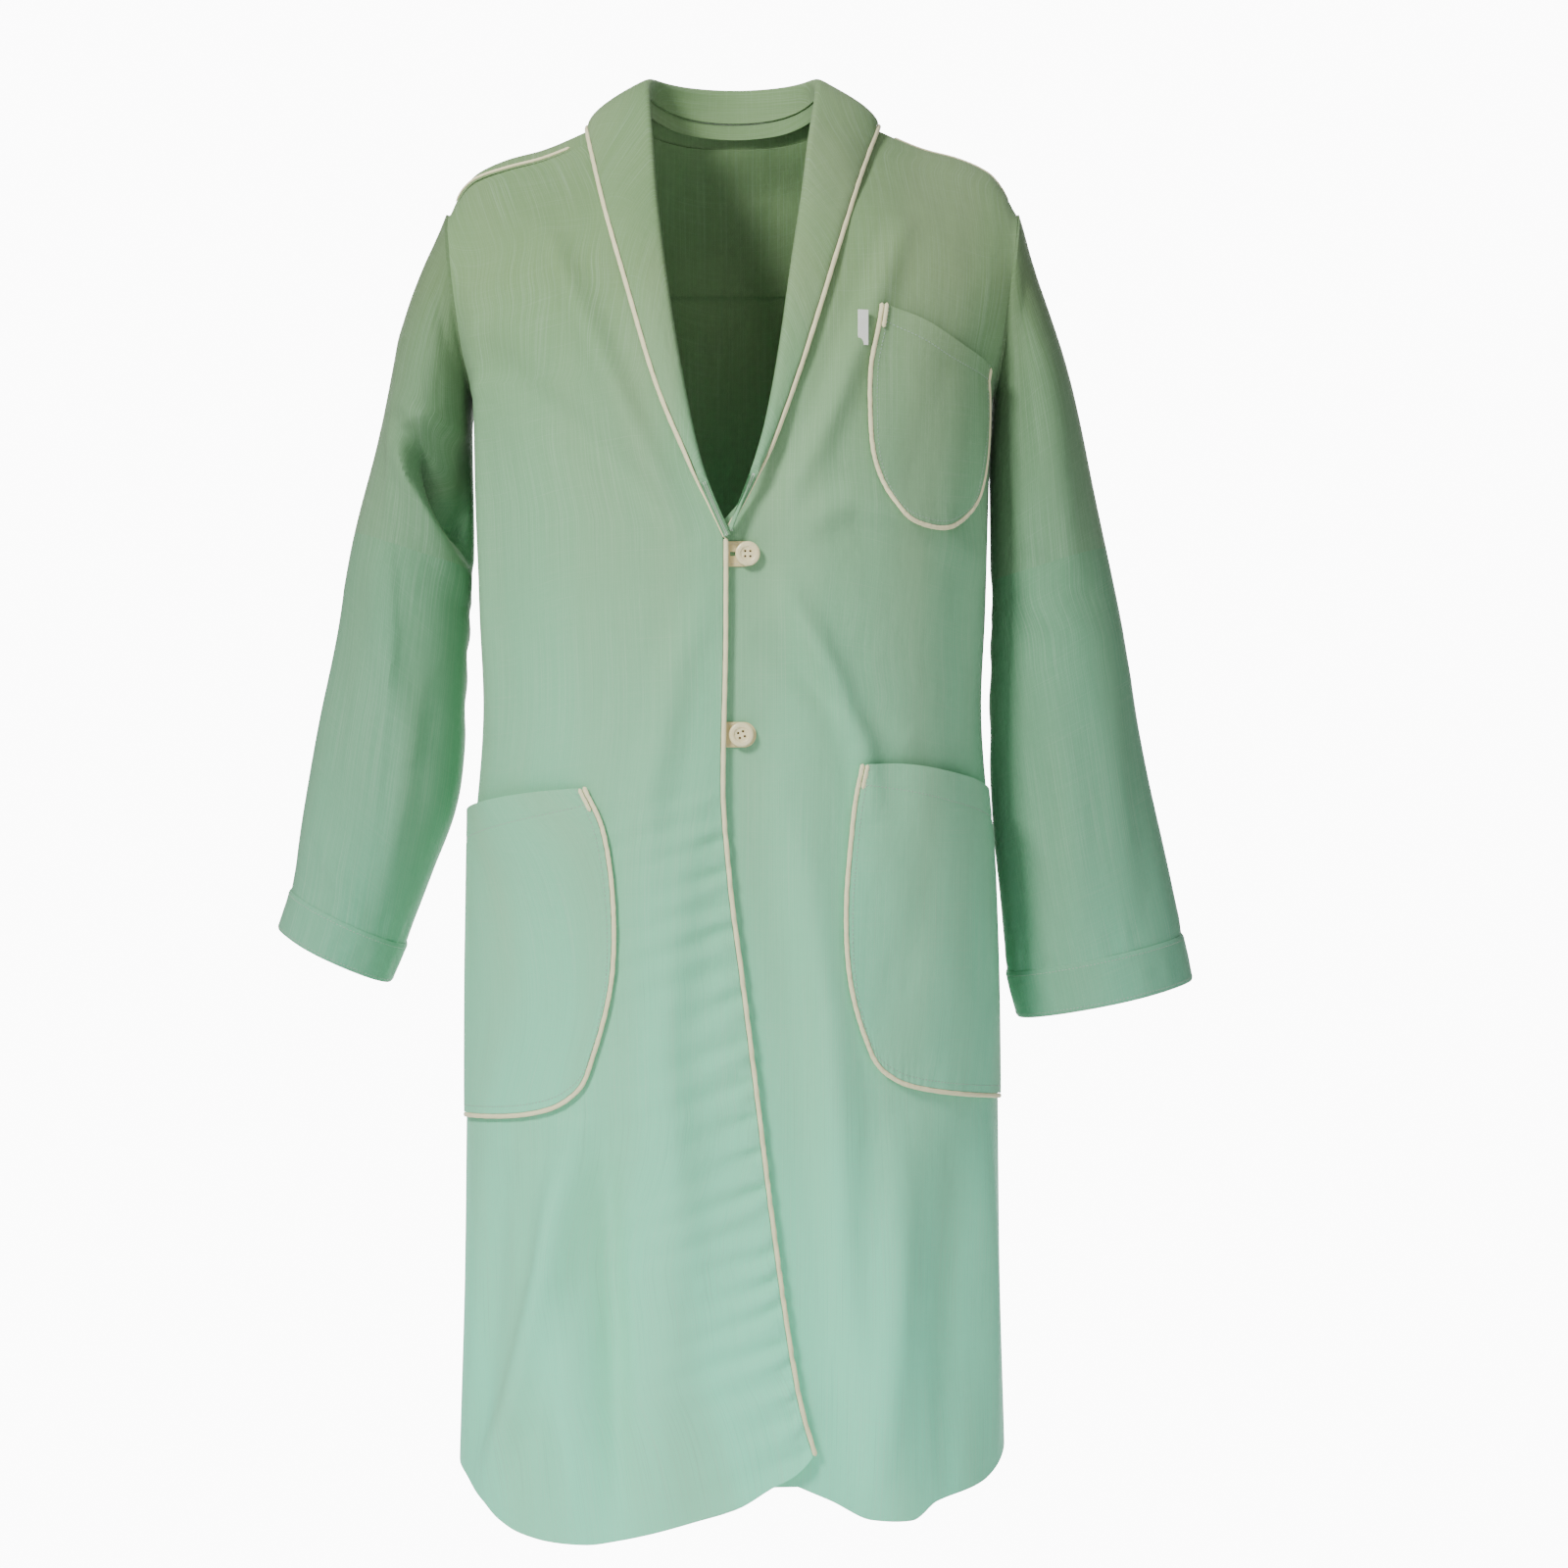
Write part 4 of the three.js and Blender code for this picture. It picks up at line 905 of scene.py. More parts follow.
def sleeve_points(side_name, start, end, rows, spread=0.0, around=SLEEVE_AROUND):
    """Rings of an ellipse: the angle is 0 at the outer wall, a quarter turn at the front and a half turn
    at the inner wall. Before ring 0 the cloth tucks in under the armhole, as a seam allowance does.
    Returns the points and each one's angle and ring number."""
    side = SLEEVE_RINGS[side_name][0]
    turn, t = np.meshgrid(np.arange(around) * 2 * np.pi / around, np.linspace(start, end, rows + 1))
    ox, oz, ix, iz, deep = ring_values(side_name, t)
    tuck = np.clip(-t / TUCK, 0, 1)
    c = np.cos(turn) * (1 + spread / 50) * (1 - 0.03 * tuck)
    x, z = (ox + ix) / 2 + (ox - ix) / 2 * c - 6 * tuck, (oz + iz) / 2 + (oz - iz) / 2 * c
    return np.stack([side * x, -(deep + spread) * (1 - 0.035 * tuck) * np.sin(turn), z], axis=-1), turn, t


SLEEVE_FOLDS = {
    "right": [
        ([(-247, -258), (-216, -326), (-196, -366)], 8, -13, 0.3),
        ([(-266, -250), (-234, -330), (-208, -392)], 9, 7.0, 0.3),
        ([(-236, -252), (-220, -285), (-206, -330)], 20, -5.0, 0.0),
        ([(-262, -232), (-232, -250), (-206, -262)], 11, 5.0, -0.4),
        ([(-259, -150), (-260, -300), (-257, -420), (-272, -560), (-286, -650)], 3.2, 1.7, 0.0),
        ([(-240, -200), (-244, -270), (-262, -330)], 13, 3.4, 0.5),
        ([(-275, -350), (-268, -430), (-252, -520)], 13, 4.6, 0.6),
        ([(-300, -380), (-304, -480), (-318, -590)], 14, -2.8, 0.4),
        ([(-232, -430), (-246, -520), (-270, -640)], 10, 2.8, -0.5),
        ([(-322, -560), (-306, -600), (-280, -650)], 8, 2.0, 0.4),
        ([(-226, -110), (-222, -170), (-212, -225)], 9, -2.4, 0.4),
    ],
    "left": [
        ([(222, -130), (216, -220), (218, -330)], 12, -3.0, 0.5),
        ([(244, -190), (252, -290), (268, -390)], 14, 3.0, -0.5),
        ([(212, -350), (250, -380), (296, -392)], 11, -2.4, 0.5),
        ([(214, -392), (250, -412), (300, -430)], 12, 2.6, 0.5),
        ([(240, -430), (262, -540), (270, -660)], 14, 3.4, -0.5),
        ([(300, -450), (312, -560), (322, -660)], 12, -2.4, 0.4),
        ([(222, -560), (232, -620), (240, -680)], 9, 2.6, 0.4),
    ],
}


HOLLOW_DEEP = 20.0
HOLLOW_EDGE = ([262, 300, 335, 371, 392], [-254, -243, -226, -204, -190])


def elbow_hollow(x, z, turn):
    """Depth of the hollow inside the bent right elbow: a three-cornered dent in the front of the sleeve,
    steep at its outer edge and easing away towards the body."""
    outer = np.interp(-z, *HOLLOW_EDGE)
    steep = ease((x - outer + 2) / 9) * np.exp(-np.clip(x - outer - 12, 0, None) / 40)
    fade = ease((-z - 256) / 55) * (0.30 * ease((z + 386) / 34) + 0.70 * ease((z + 348) / 13))
    return HOLLOW_DEEP * steep * fade * ease((np.sin(turn) + 0.05) / 0.4)


def sleeve_relief(side_name, points, turn, t):
    """Folds seen from the front, elbow creases behind, slow waves, and small gathers above the cuff."""
    x, y, z = points[..., 0], points[..., 1], points[..., 2]
    total = waves(x + 0.7 * y, z, 21 if side_name == "right" else 22, 170, 55, 1.5, 1.8)
    facing = ease((np.sin(turn) + 0.25) / 0.5)
    for path, width, height, lean in SLEEVE_FOLDS[side_name]:
        total = total + facing * fold(x, z, path, width, height, lean)
    for k in range(5):
        crease = np.exp(-(((t - 2.55 - 0.22 * k) * 95 + 9 * np.sin(2 * turn + k)) / 9) ** 2)
        total = total - (1 - facing) * crease * (2.2 + 0.5 * (k % 2))
    towards_body = np.clip(-np.cos(turn), 0, 1) ** 2 * np.sin(np.pi * np.clip((t - 0.2) / 5.4, 0, 1))
    total = total + towards_body * (6.0 if side_name == "left" else 2.0)
    if side_name == "right":
        total = total - 0.35 * elbow_hollow(x, z, turn)
    gathers = 0.9 * np.sin(turn * 21 + np.sin(3 * turn)) * (0.5 + 0.5 * np.sin(turn * 5 + 1))
    total = total + gathers * ease((t - 5.35) / 0.6)
    return total * ease(t / 0.35) * np.where(t > 5.7, 1 - 0.55 * ease((t - 5.7) / 0.3), 1)


def tube_shell(name, points, inner, outer):
    """A closed shell of rings, its normals facing away from the middle of each ring."""
    middle = points.mean(axis=1, keepdims=True)
    return shell(name, points, inner, outer, closed=True, centre=middle)


def ring_middle(side_name, t):
    """The middle of ring t, in metres."""
    ox, oz, ix, iz, _ = (float(v) for v in ring_values(side_name, t))
    return np.array([SLEEVE_RINGS[side_name][0] * (ox + ix) / 2, 0, (oz + iz) / 2]) * MM


SLEEVE_TO, SLEEVE_ROWS = SEAM_RING + 0.12, 310
for name in SLEEVE_RINGS:
    plain, turn, t = sleeve_points(name, -TUCK, SLEEVE_TO, SLEEVE_ROWS)
    middle = plain.mean(axis=1, keepdims=True)
    normals = normals_of(plain, middle, closed=True)
    full = plain + normals * sleeve_relief(name, plain, turn, t)[..., None]
    if name == "right":
        full = full + np.array([0, 1, 0]) * elbow_hollow(plain[..., 0], plain[..., 2], turn)[..., None]
    full_normals = normals_of(full, full.mean(axis=1, keepdims=True), closed=True)
    split = int(round((HEAD_TO + TUCK) / (SLEEVE_TO + TUCK) * SLEEVE_ROWS))
    first, second = slice(0, split + 1), slice(split, None)
    head, rest = (
        shell(f"{name}_{kind}", full[rows], -CLOTH, 0, normals=full_normals[rows], closed=True)
        for kind, rows in (("sleeve_head", first), ("sleeve", second))
    )
    for piece, part in ((head, plain[first]), (rest, plain[second])):
        dress(piece, mint_sleeve_painted_shade, "mint_cloth")
        declare(piece, np.concatenate([part, part[:, :1]], axis=1))
    side = SLEEVE_RINGS[name][0]
    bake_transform(head)
    bend_from, bend_to = ring_middle(name, 2.62), ring_middle(name, 3.42)
    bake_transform(rest)
    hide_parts(f"{name}_upper_sleeve")
    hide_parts(f"{name}_lower_sleeve")

# %% [markdown]
# A cuff is a doubled band, a little wider than the sleeve that is gathered into it. It is stiff, so it
# keeps its round and only its edges are soft.

# %% Cuffs
cuff_seams = []
for name in SLEEVE_RINGS:
    plain, turn, t = sleeve_points(name, SEAM_RING, CUFF_END, 24, spread=1.4)
    soft = 0.7 * np.sin(5 * turn + 1) * (t - SEAM_RING)
    soft = soft + 0.35 * np.sin(17 * turn) * (1 - np.abs(2 * (t - 6.5)))
    edge = np.minimum(t - SEAM_RING, CUFF_END - t) * 38
    rounded = -0.9 * np.exp(-edge / 0.9)
    middle = plain.mean(axis=1, keepdims=True)
    band = plain + normals_of(plain, middle, closed=True) * (soft + rounded)[..., None]
    cuff = tube_shell(f"{name}_turned_cuff", band, -2.2, 0)
    dress(cuff, mint_sleeve_painted_shade, "mint_cloth", f"{name}_forearm", f"{name}_cuff")
    declare(cuff, np.concatenate([plain, plain[:, :1]], axis=1))
    band_normals = normals_of(band, middle, closed=True)
    for row in (2, 22):
        loop = np.concatenate([band[row], band[row, :1]]) + 0.05 * band_normals[row].mean(axis=0)
        facing = np.concatenate([band_normals[row], band_normals[row, :1]])
        cuff_seams.append((f"{name}_cuff_stitches_{row}", loop, facing, name))

# %% [markdown]
# ## The shawl collar
# Collar and lapels are one piece that runs from the break above the top button, round the neck and down
# again. It is swept between three curves: the neck seam, the roll and the outer edge. From the roll the
# fall comes down outside and must stay clear of the shoulders, so its points are pushed out until they do.

# %% Collar curves
ROLL_FRONT = {"right": [(-1.5, -352), (-21, -305), (-39, -224), (-52, -140), (-59, -84), (-63, -40)],
              "left": [(2.5, -349), (26, -284), (39, -218), (49, -141), (57, -84), (62, -35)]}
EDGE_FRONT = {"right": [(-3, -354), (-24, -308), (-51, -250), (-73, -176), (-95, -100), (-107, -52)],
              "left": [(3, -347), (30, -290), (53, -229), (75, -155), (95, -83), (107, -42)]}
FALL_LIFT = 3.4
NECK_CURVES = {
    "roll": [(67, -14, 14), (62, 22, 30), (38, 54, 33), (0, 66, 34)],
    "fall": [(114, -2, -10), (98, 44, -22), (58, 76, -26), (0, 88, -27)],
    "seam": [(68, -12, 6), (63, 24, 8), (40, 50, 3), (0, 60, 1)],
}


def collar_curve(kind):
    """One curve of the collar, from its right tip to its left, through the middle of the back."""
    both = []
    for side, sign, lift in (("right", -1, 5.5), ("left", 1, 4.5)):
        out = {"roll": lift, "seam": lift - 2.6, "fall": FALL_LIFT}[kind]
        places = np.array(EDGE_FRONT[side] if kind == "fall" else ROLL_FRONT[side], float)
        shift = {"roll": (0, 0), "seam": (-0.6 * sign, 0), "fall": (-3 * sign, 1.5)}[kind]
        at = on_front(places[:, 0] + (shift[0] if kind == "fall" else 0), places[:, 1] + shift[1])
        front = at + [shift[0] if kind == "seam" else 0, -out, 0]
        half = [tuple(p) for p in front] + [(sign * x, y, z) for x, y, z in NECK_CURVES[kind]]
        both.append(half)
    return through(both[0] + both[1][-2::-1])


def clear_of_torso(points, lift):
    """Pushes points away from the body in steps of 1 mm until they are outside it by the lift."""
    heart = np.stack([np.clip(points[..., 0], -60, 60), 0 * points[..., 0], points[..., 2] - 70], axis=-1)
    way, moved = unit(points - heart), points.copy()
    for _ in range(60):
        x, y, z = moved[..., 0], moved[..., 1], moved[..., 2]
        angle = angle_of(x, z)
        deep = np.where(y < 0, torso(angle, z, front_depth)[1], torso(angle, z, back_depth)[1])
        inside = (np.abs(y) < deep + lift) & (z < ridge(np.abs(x)) + lift)
        moved = moved + way * inside[..., None]
    return moved


def smoothed(points, turns):
    """Evens out a grid: each point moves half way to the mean of its four neighbours, and a point on
    the first or last row moves along with the two beside it."""
    for _ in range(turns):
        mean = (points[:-2, 1:-1] + points[2:, 1:-1] + points[1:-1, :-2] + points[1:-1, 2:]) / 4
        points = points.copy()
        points[1:-1, 1:-1] = lerp(points[1:-1, 1:-1], mean, 0.5)
        for edge in (0, -1):
            points[edge, 1:-1] = (points[edge, :-2] + 2 * points[edge, 1:-1] + points[edge, 2:]) / 4
    return points


def collar_points(columns, rows):
    """Columns from the right tip round to the left, rows from the neck seam over the roll to the edge."""
    u, v = grid(columns, rows)
    s, t = 2 * v - 1, 1 - np.abs(2 * u - 1)
    roll, fall, seam = (collar_curve(kind)(u) for kind in ("roll", "fall", "seam"))
    other = np.where(s[..., None] < 0, seam, fall)
    flat = lerp(roll, other, np.abs(s)[..., None])
    reach = np.linalg.norm(other - roll, axis=-1)
    rise = np.where(s > 0, np.minimum(reach * 0.09, 5) * np.sin(np.pi * np.abs(s)), 0)
    out = unit(np.stack([roll[..., 0], roll[..., 1] * 0.8, lerp(8, 25, ease((t - 0.45) / 0.2))], axis=-1))
    bowed = flat + out * rise[..., None]
    pushed = clear_of_torso(bowed, lerp(5.6, 4, np.abs(s)))
    return smoothed(lerp(bowed, pushed, ease((s - 0.02) / 0.1)[..., None]), 60)


COLLAR_COLUMNS, COLLAR_ROWS = 300, 48
collar_plain = collar_points(COLLAR_COLUMNS, COLLAR_ROWS)
collar_heart = collar_plain * [0.93, 0.9, 1] - [0, 0, 6]
collar_normals = normals_of(collar_plain, collar_heart)
u, v = grid(COLLAR_COLUMNS, COLLAR_ROWS)
on_fall = np.sin(np.pi * np.clip(2 * v - 1, 0, 1))
ripple = 0.5 * np.sin(u * 61 + 2 * np.sin(u * 17)) * on_fall * np.sin(np.pi * u)
ripple = ripple + 0.30 * np.sin(u * 260 + 3 * np.sin(u * 40)) * np.exp(-(1 - v) / 0.06)
turned = 0.9 * np.exp(-(1 - v) / 0.035)
collar_top = collar_plain + collar_normals * (ripple - turned)[..., None]
for name, grid_points, inner, outer, finish, slot, node in (
    ("shawl_under_collar", collar_plain, 0.0, 0.6, mint, "mint_cloth", "under_collar"),
    ("shawl_interfacing", collar_plain, 0.75, 1.0, lining, "interfacing", "collar_interfacing"),
    ("shawl_upper_collar", collar_top, 2.05, 3.0, mint, "mint_cloth", "upper_collar"),
):
    piece = shell(name, grid_points, inner, outer, normals=collar_normals, along=True)
    dress(piece, finish, slot, "torso", node)
    declare(piece, collar_plain)

# %% [markdown]
# Inside the neck a narrow band covers the seam where the collar meets the back.

# %% The neck band
BAND_DEEP = 16.0
band_columns = slice(int(0.25 * COLLAR_COLUMNS), int(0.75 * COLLAR_COLUMNS) + 1)
band_top = collar_plain[3, band_columns]
inwards = unit(-band_top * [1, 1, 0])
_, share = grid(band_top.shape[0] - 1, 12)
band_points = band_top[None] + inwards[None] * (1.2 + 0.8 * share[..., None])
band_points = band_points - [0, 0, 1] * (share * BAND_DEEP)[..., None]
neck_band = shell("neck_band", band_points, -0.4, 0.4, along=True)
dress(neck_band, mint, "mint_cloth", "torso")
declare(neck_band, band_points)

# %% [markdown]
# ## Piping
# Piping is a cord in a folded strip. Each run is a flattened tube that follows an edge: a little outside
# it, and a little proud. Its ends close to a point, where the strip is turned in. The strip is sewn on
# the bias, so the tube has shallow slanting dimples from its stitches.

# %% Cords
def cord(name, centres, away, normals, half_width=1.85, half_thick=1.25, sides=14, dimple=0.07):
    """A flattened tube round a line of centres. At each station its section is an ellipse, half_width
    along away and half_thick along the normal, and it tapers over its last few millimetres."""
    run = run_of(centres)
    end = np.minimum(run, run[-1] - run)
    size = np.sqrt(np.clip(1 - (1 - np.clip(end / 1.8, 0, 1)) ** 2, 0.02, 1))
    angle = np.arange(sides) * 2 * np.pi / sides
    size = size[:, None] * (1 - dimple * np.sin(run[:, None] * 2.6 + angle) ** 2)
    ring = (centres[:, None] + away[:, None] * (size * half_width * np.cos(angle))[..., None]
            + normals[:, None] * (size * half_thick * np.sin(angle))[..., None])
    rows = len(centres)
    fan = np.array([[0, k, k + 1, k + 2] for k in range(1, sides - 1, 2)])
    faces = np.concatenate([quads(rows, sides, 0, closed=True), fan[:, ::-1], fan + (rows - 1) * sides])
    uv = np.stack(np.broadcast_arrays(angle[None] * 0.0017, run[:, None] * MM), axis=-1).reshape(-1, 2)
    return dress(put_mesh(name, ring.reshape(-1, 3), faces, uv, sharp=60), ivory, "ivory_piping")


def run_of(line):
    """The distance run along a line, in millimetres."""
    return np.concatenate([[0], np.cumsum(np.linalg.norm(np.diff(line, axis=0), axis=1))])


def at_run(at, run, values):
    """A line's values at given distances along it."""
    return np.stack([np.interp(at, run, values[:, k]) for k in range(3)], axis=1)


def every(points, normals, away, step=1.3):
    """Takes a line's stations at even distances."""
    run = run_of(points)
    at = np.linspace(0, run[-1], max(int(run[-1] / step), 8))
    line = [at_run(at, run, values) for values in (points, normals, away)]
    return line[0], unit(line[1]), unit(line[2])


def along_edge(name, edge, beside, normals, out=2.25, rise=0.6, **shape):
    """A cord beyond a sheet's edge. beside is the next line of the sheet, and away points from it."""
    tangent = unit(np.gradient(edge, axis=0))
    away = unit(np.cross(tangent, normals))
    away = away * np.sign(np.sum(away * (edge - beside), axis=-1, keepdims=True))
    centres, n, a = every(edge + away * out + normals * rise, normals, away)
    return cord(name, centres, a, n, **shape)


HALF_SHARE = 0.74
half_columns = COLLAR_COLUMNS // 2
piped = int(half_columns * HALF_SHARE)
to_tip = np.minimum(np.arange(COLLAR_COLUMNS + 1), COLLAR_COLUMNS - np.arange(COLLAR_COLUMNS + 1))
near_tip = 1 - ease((to_tip / half_columns - 0.06) / 0.16)
piped_runs = {"right": slice(0, piped), "left": slice(COLLAR_COLUMNS - piped + 1, COLLAR_COLUMNS + 1)}
for side, columns in piped_runs.items():
    piece = along_edge(f"{side}_lapel_cord", collar_plain[-1, columns], collar_plain[-4, columns],
                       collar_normals[-1, columns], rise=1.7 + 2.2 * near_tip[columns, None])
    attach(piece, "torso")
    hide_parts(f"{side}_collar_piping")

right_normals = normals_of(right_points)
below = right_points[:, 0, 2] < -352
edge_line, next_line, edge_normals = right_points[below, 0], right_points[below, 2], right_normals[below, 0]
front_cord = along_edge("right_front_cord", edge_line, next_line, edge_normals, rise=-0.2)
across_fold(front_cord)
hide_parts("right_front_piping", "right_skirt_piping")

seam_x = np.linspace(126, 217, 60)
for side, sign, depth_at, way, rise in (
    ("right", -1, lambda x: -right_seam_depth(x), (-0.15, -0.55, 1), 3.0),
    ("left", 1, lambda x: 6 + 0 * x, (0.2, 0.6, 1), 1.6),
):
    up = unit(np.array(way, float))
    seam = np.stack([sign * seam_x, depth_at(seam_x), seam_height(seam_x, sign)], axis=1)
    tangent = unit(np.gradient(seam, axis=0))
    away = unit(np.cross(tangent, up))
    facing = np.broadcast_to(up, seam.shape)
    piece = cord(f"{side}_shoulder_cord", seam + up * rise, away, facing, half_width=1.9)
    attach(piece, "torso")
    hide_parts(f"{side}_shoulder_piping")

# %% [markdown]
# ## Stitches
# A row of stitches is one mesh. Each stitch is a short bead with pointed ends, sunk half into the cloth.

# %% Rows of stitches
def stitches(name, line, normals, body, finish, pitch=3.0, long=2.1, wide=0.32, high=0.22):
    """Beads along a line: four rings of six points each, the end rings drawn in nearly to a point."""
    run = run_of(line)
    at = np.arange(pitch / 2, run[-1], pitch)
    middle, ahead = at_run(at, run, line), at_run(at + 0.5, run, line)
    n = unit(at_run(at, run, normals))
    way = unit(ahead - middle + 1e-6)
    side = unit(np.cross(way, n))
    angle = np.arange(6) * np.pi / 3
    points = []
    for place, size in ((-0.5, 0.25), (-0.28, 1.0), (0.28, 1.0), (0.5, 0.25)):
        centre = middle + way * place * long - n * (1 - size) * 0.3
        points.append(centre[:, None] + side[:, None] * (np.cos(angle) * wide * size)[:, None]
                      + n[:, None] * (np.sin(angle) * high * size)[:, None])
    points = np.stack(points, axis=1)
    ends = [[0, 5, 4, 3], [0, 3, 2, 1], [18, 19, 20, 21], [18, 21, 22, 23]]
    one = np.concatenate([quads(4, 6, 0, closed=True), ends])
    faces = (one[None] + 24 * np.arange(len(at))[:, None, None]).reshape(-1, 4)
    piece = put_mesh(name, points.reshape(-1, 3), faces, sharp=80)
    dress(piece, finish, "sewing_thread", body)
    print(f"{name}: {len(at)} stitches")


for seam_name, loop, facing, side_name in cuff_seams:
    stitches(seam_name, loop, facing, f"{side_name}_forearm", mint_thread, pitch=2.8, long=2.0)

# %% [markdown]
# ## Patch pockets
# A pocket is drawn by its four sides and filled between them. It lies on the front with the front's own
# folds, and its mouth bows out where hands have stretched it. The mouth is hemmed: a strip of the same
# cloth is doubled behind it.

# %% Pockets
POCKETS = {
    "right_hip": (-1, 12, {
        "top": [(105, -534), (140, -538), (182, -547), (202, -556)],
        "inner": [(98, -726), (85, -672), (84, -615), (91, -566), (105, -534)],
        "bottom": [(98, -726), (113, -755), (148, -771), (201, -781)],
        "outer": [(201, -781), (202, -668), (202, -556)]}),
    "left_hip": (1, 12, {
        "top": [(96, -517), (124, -517), (160, -524), (194, -535)],
        "inner": [(99, -713), (88, -670), (86, -616), (91, -556), (96, -517)],
        "bottom": [(99, -713), (115, -740), (150, -754), (203, -768)],
        "outer": [(203, -768), (201, -650), (194, -535)]}),
    "breast": (1, 8, {
        "round": [],
        "top": [(112, -180), (139, -189), (167, -202), (194, -214)],
        "inner": [(120, -325), (107, -293), (104, -252), (107, -210), (112, -180)],
        "bottom": [(120, -325), (134, -338), (158, -339), (178, -321)],
        "outer": [(178, -321), (186, -287), (191, -250), (194, -214)]}),
}
POCKET_LIFT, HEM_DEEP, TURNED_BACK = 2.9, 0.1, 20.0


def rounded(points):
    """A curve through points, where the slope at each is that of the line between its neighbours."""
    p = np.array(points, float)
    p = np.concatenate([[2 * p[0] - p[1]], p, [2 * p[-1] - p[-2]]])

    def curve(at):
        i = np.clip(np.floor(at).astype(int), 0, len(p) - 4)
        t = (at - i)[..., None]
        a, b, c, d = (p[i + k] for k in range(4))
        return (2 * b + (c - a) * t + (2 * a - 5 * b + 4 * c - d) * t**2 + (3 * b - a - 3 * c + d) * t**3) / 2

    return curve


def pocket_sides(edges):
    """The four sides. The inner side, the bottom and, on the breast pocket, the outer side are one run,
    so that the corners between them are round."""
    place = {key: [(float(angle_of(float(x), float(z))) * 200, z) for x, z in edges[key]] for key in edges}
    n, m = len(place["inner"]) - 1, len(place["bottom"]) - 1
    last = place["outer"][1:] if "round" in edges else []
    run = rounded(place["inner"][::-1] + place["bottom"][1:] + last)
    outer, top = rounded(place["outer"]), rounded(place["top"])
    k = len(place["outer"]) - 1
    return {
        "inner": lambda v: run(n * (1 - v)), "bottom": lambda u: run(n + m * u),
        "outer": (lambda v: run(n + m + k * v)) if "round" in edges else (lambda v: outer(k * v)),
        "top": lambda u: top((len(place["top"]) - 1) * u),
    }


def pocket_points(name, columns, rows):
    """A patch between four curves, in angle and height: two straight blends across and up, less the
    blend of the four corners. Then its place on the front, the front's relief and the pocket's own."""
    side, bulge, edges = POCKETS[name]
    u, v = grid(columns, rows)
    line = pocket_sides(edges)
    across, up = u[..., None], v[..., None]
    top, bottom, inner, outer = line["top"](u), line["bottom"](u), line["inner"](v), line["outer"](v)
    ends = np.array([0.0, 1.0])
    corners = [*line["bottom"](ends), *line["top"](ends)]
    flat = (lerp(bottom, top, up) + lerp(inner, outer, across)
            - lerp(lerp(corners[0], corners[1], across), lerp(corners[2], corners[3], across), up))
    angle, z = flat[..., 0] / 200, flat[..., 1]
    x, deep = torso(angle, z, front_depth)
    base = np.stack([side * x, -deep - GAP, z], axis=-1)
    normals = front_normal(base[..., 0], z)
    puff = bulge * 0.75 * np.sin(np.pi * u) * v**2.5
    soft = waves(base[..., 0], z, 31 + int(bulge) + side, 90, 30, 0.75, 1.6)
    soft = soft * np.sin(np.pi * np.clip(u, 0, 1)) ** 0.5
    sag = -1.6 * np.exp(-((u - 0.30 - 0.35 * v) / 0.13) ** 2)
    sag = sag + 1.5 * np.exp(-((u - 0.62 - 0.2 * v) / 0.14) ** 2)
    pucker = 0.30 * np.sin(v * 190 + 3 * np.sin(v * 31)) * np.exp(-u / 0.05)
    pucker = pucker + 0.26 * np.sin(u * 120 + 2 * np.sin(u * 23)) * np.exp(-v / 0.05)
    hem = 0.35 * np.exp(-(((1 - v) - HEM_DEEP) / 0.008) ** 2)
    own = puff + (soft + sag * v * (1 - v) * 2.2) * np.clip(8 * u, 0, 1) * np.clip(6 * v, 0, 1) + pucker - hem
    lift = POCKET_LIFT + front_relief(base[..., 0], z) + np.maximum(own, -1.0)
    moved = base + normals * lift[..., None]
    moved[..., 1] = np.minimum(moved[..., 1], -GAP)
    return base, moved, normals


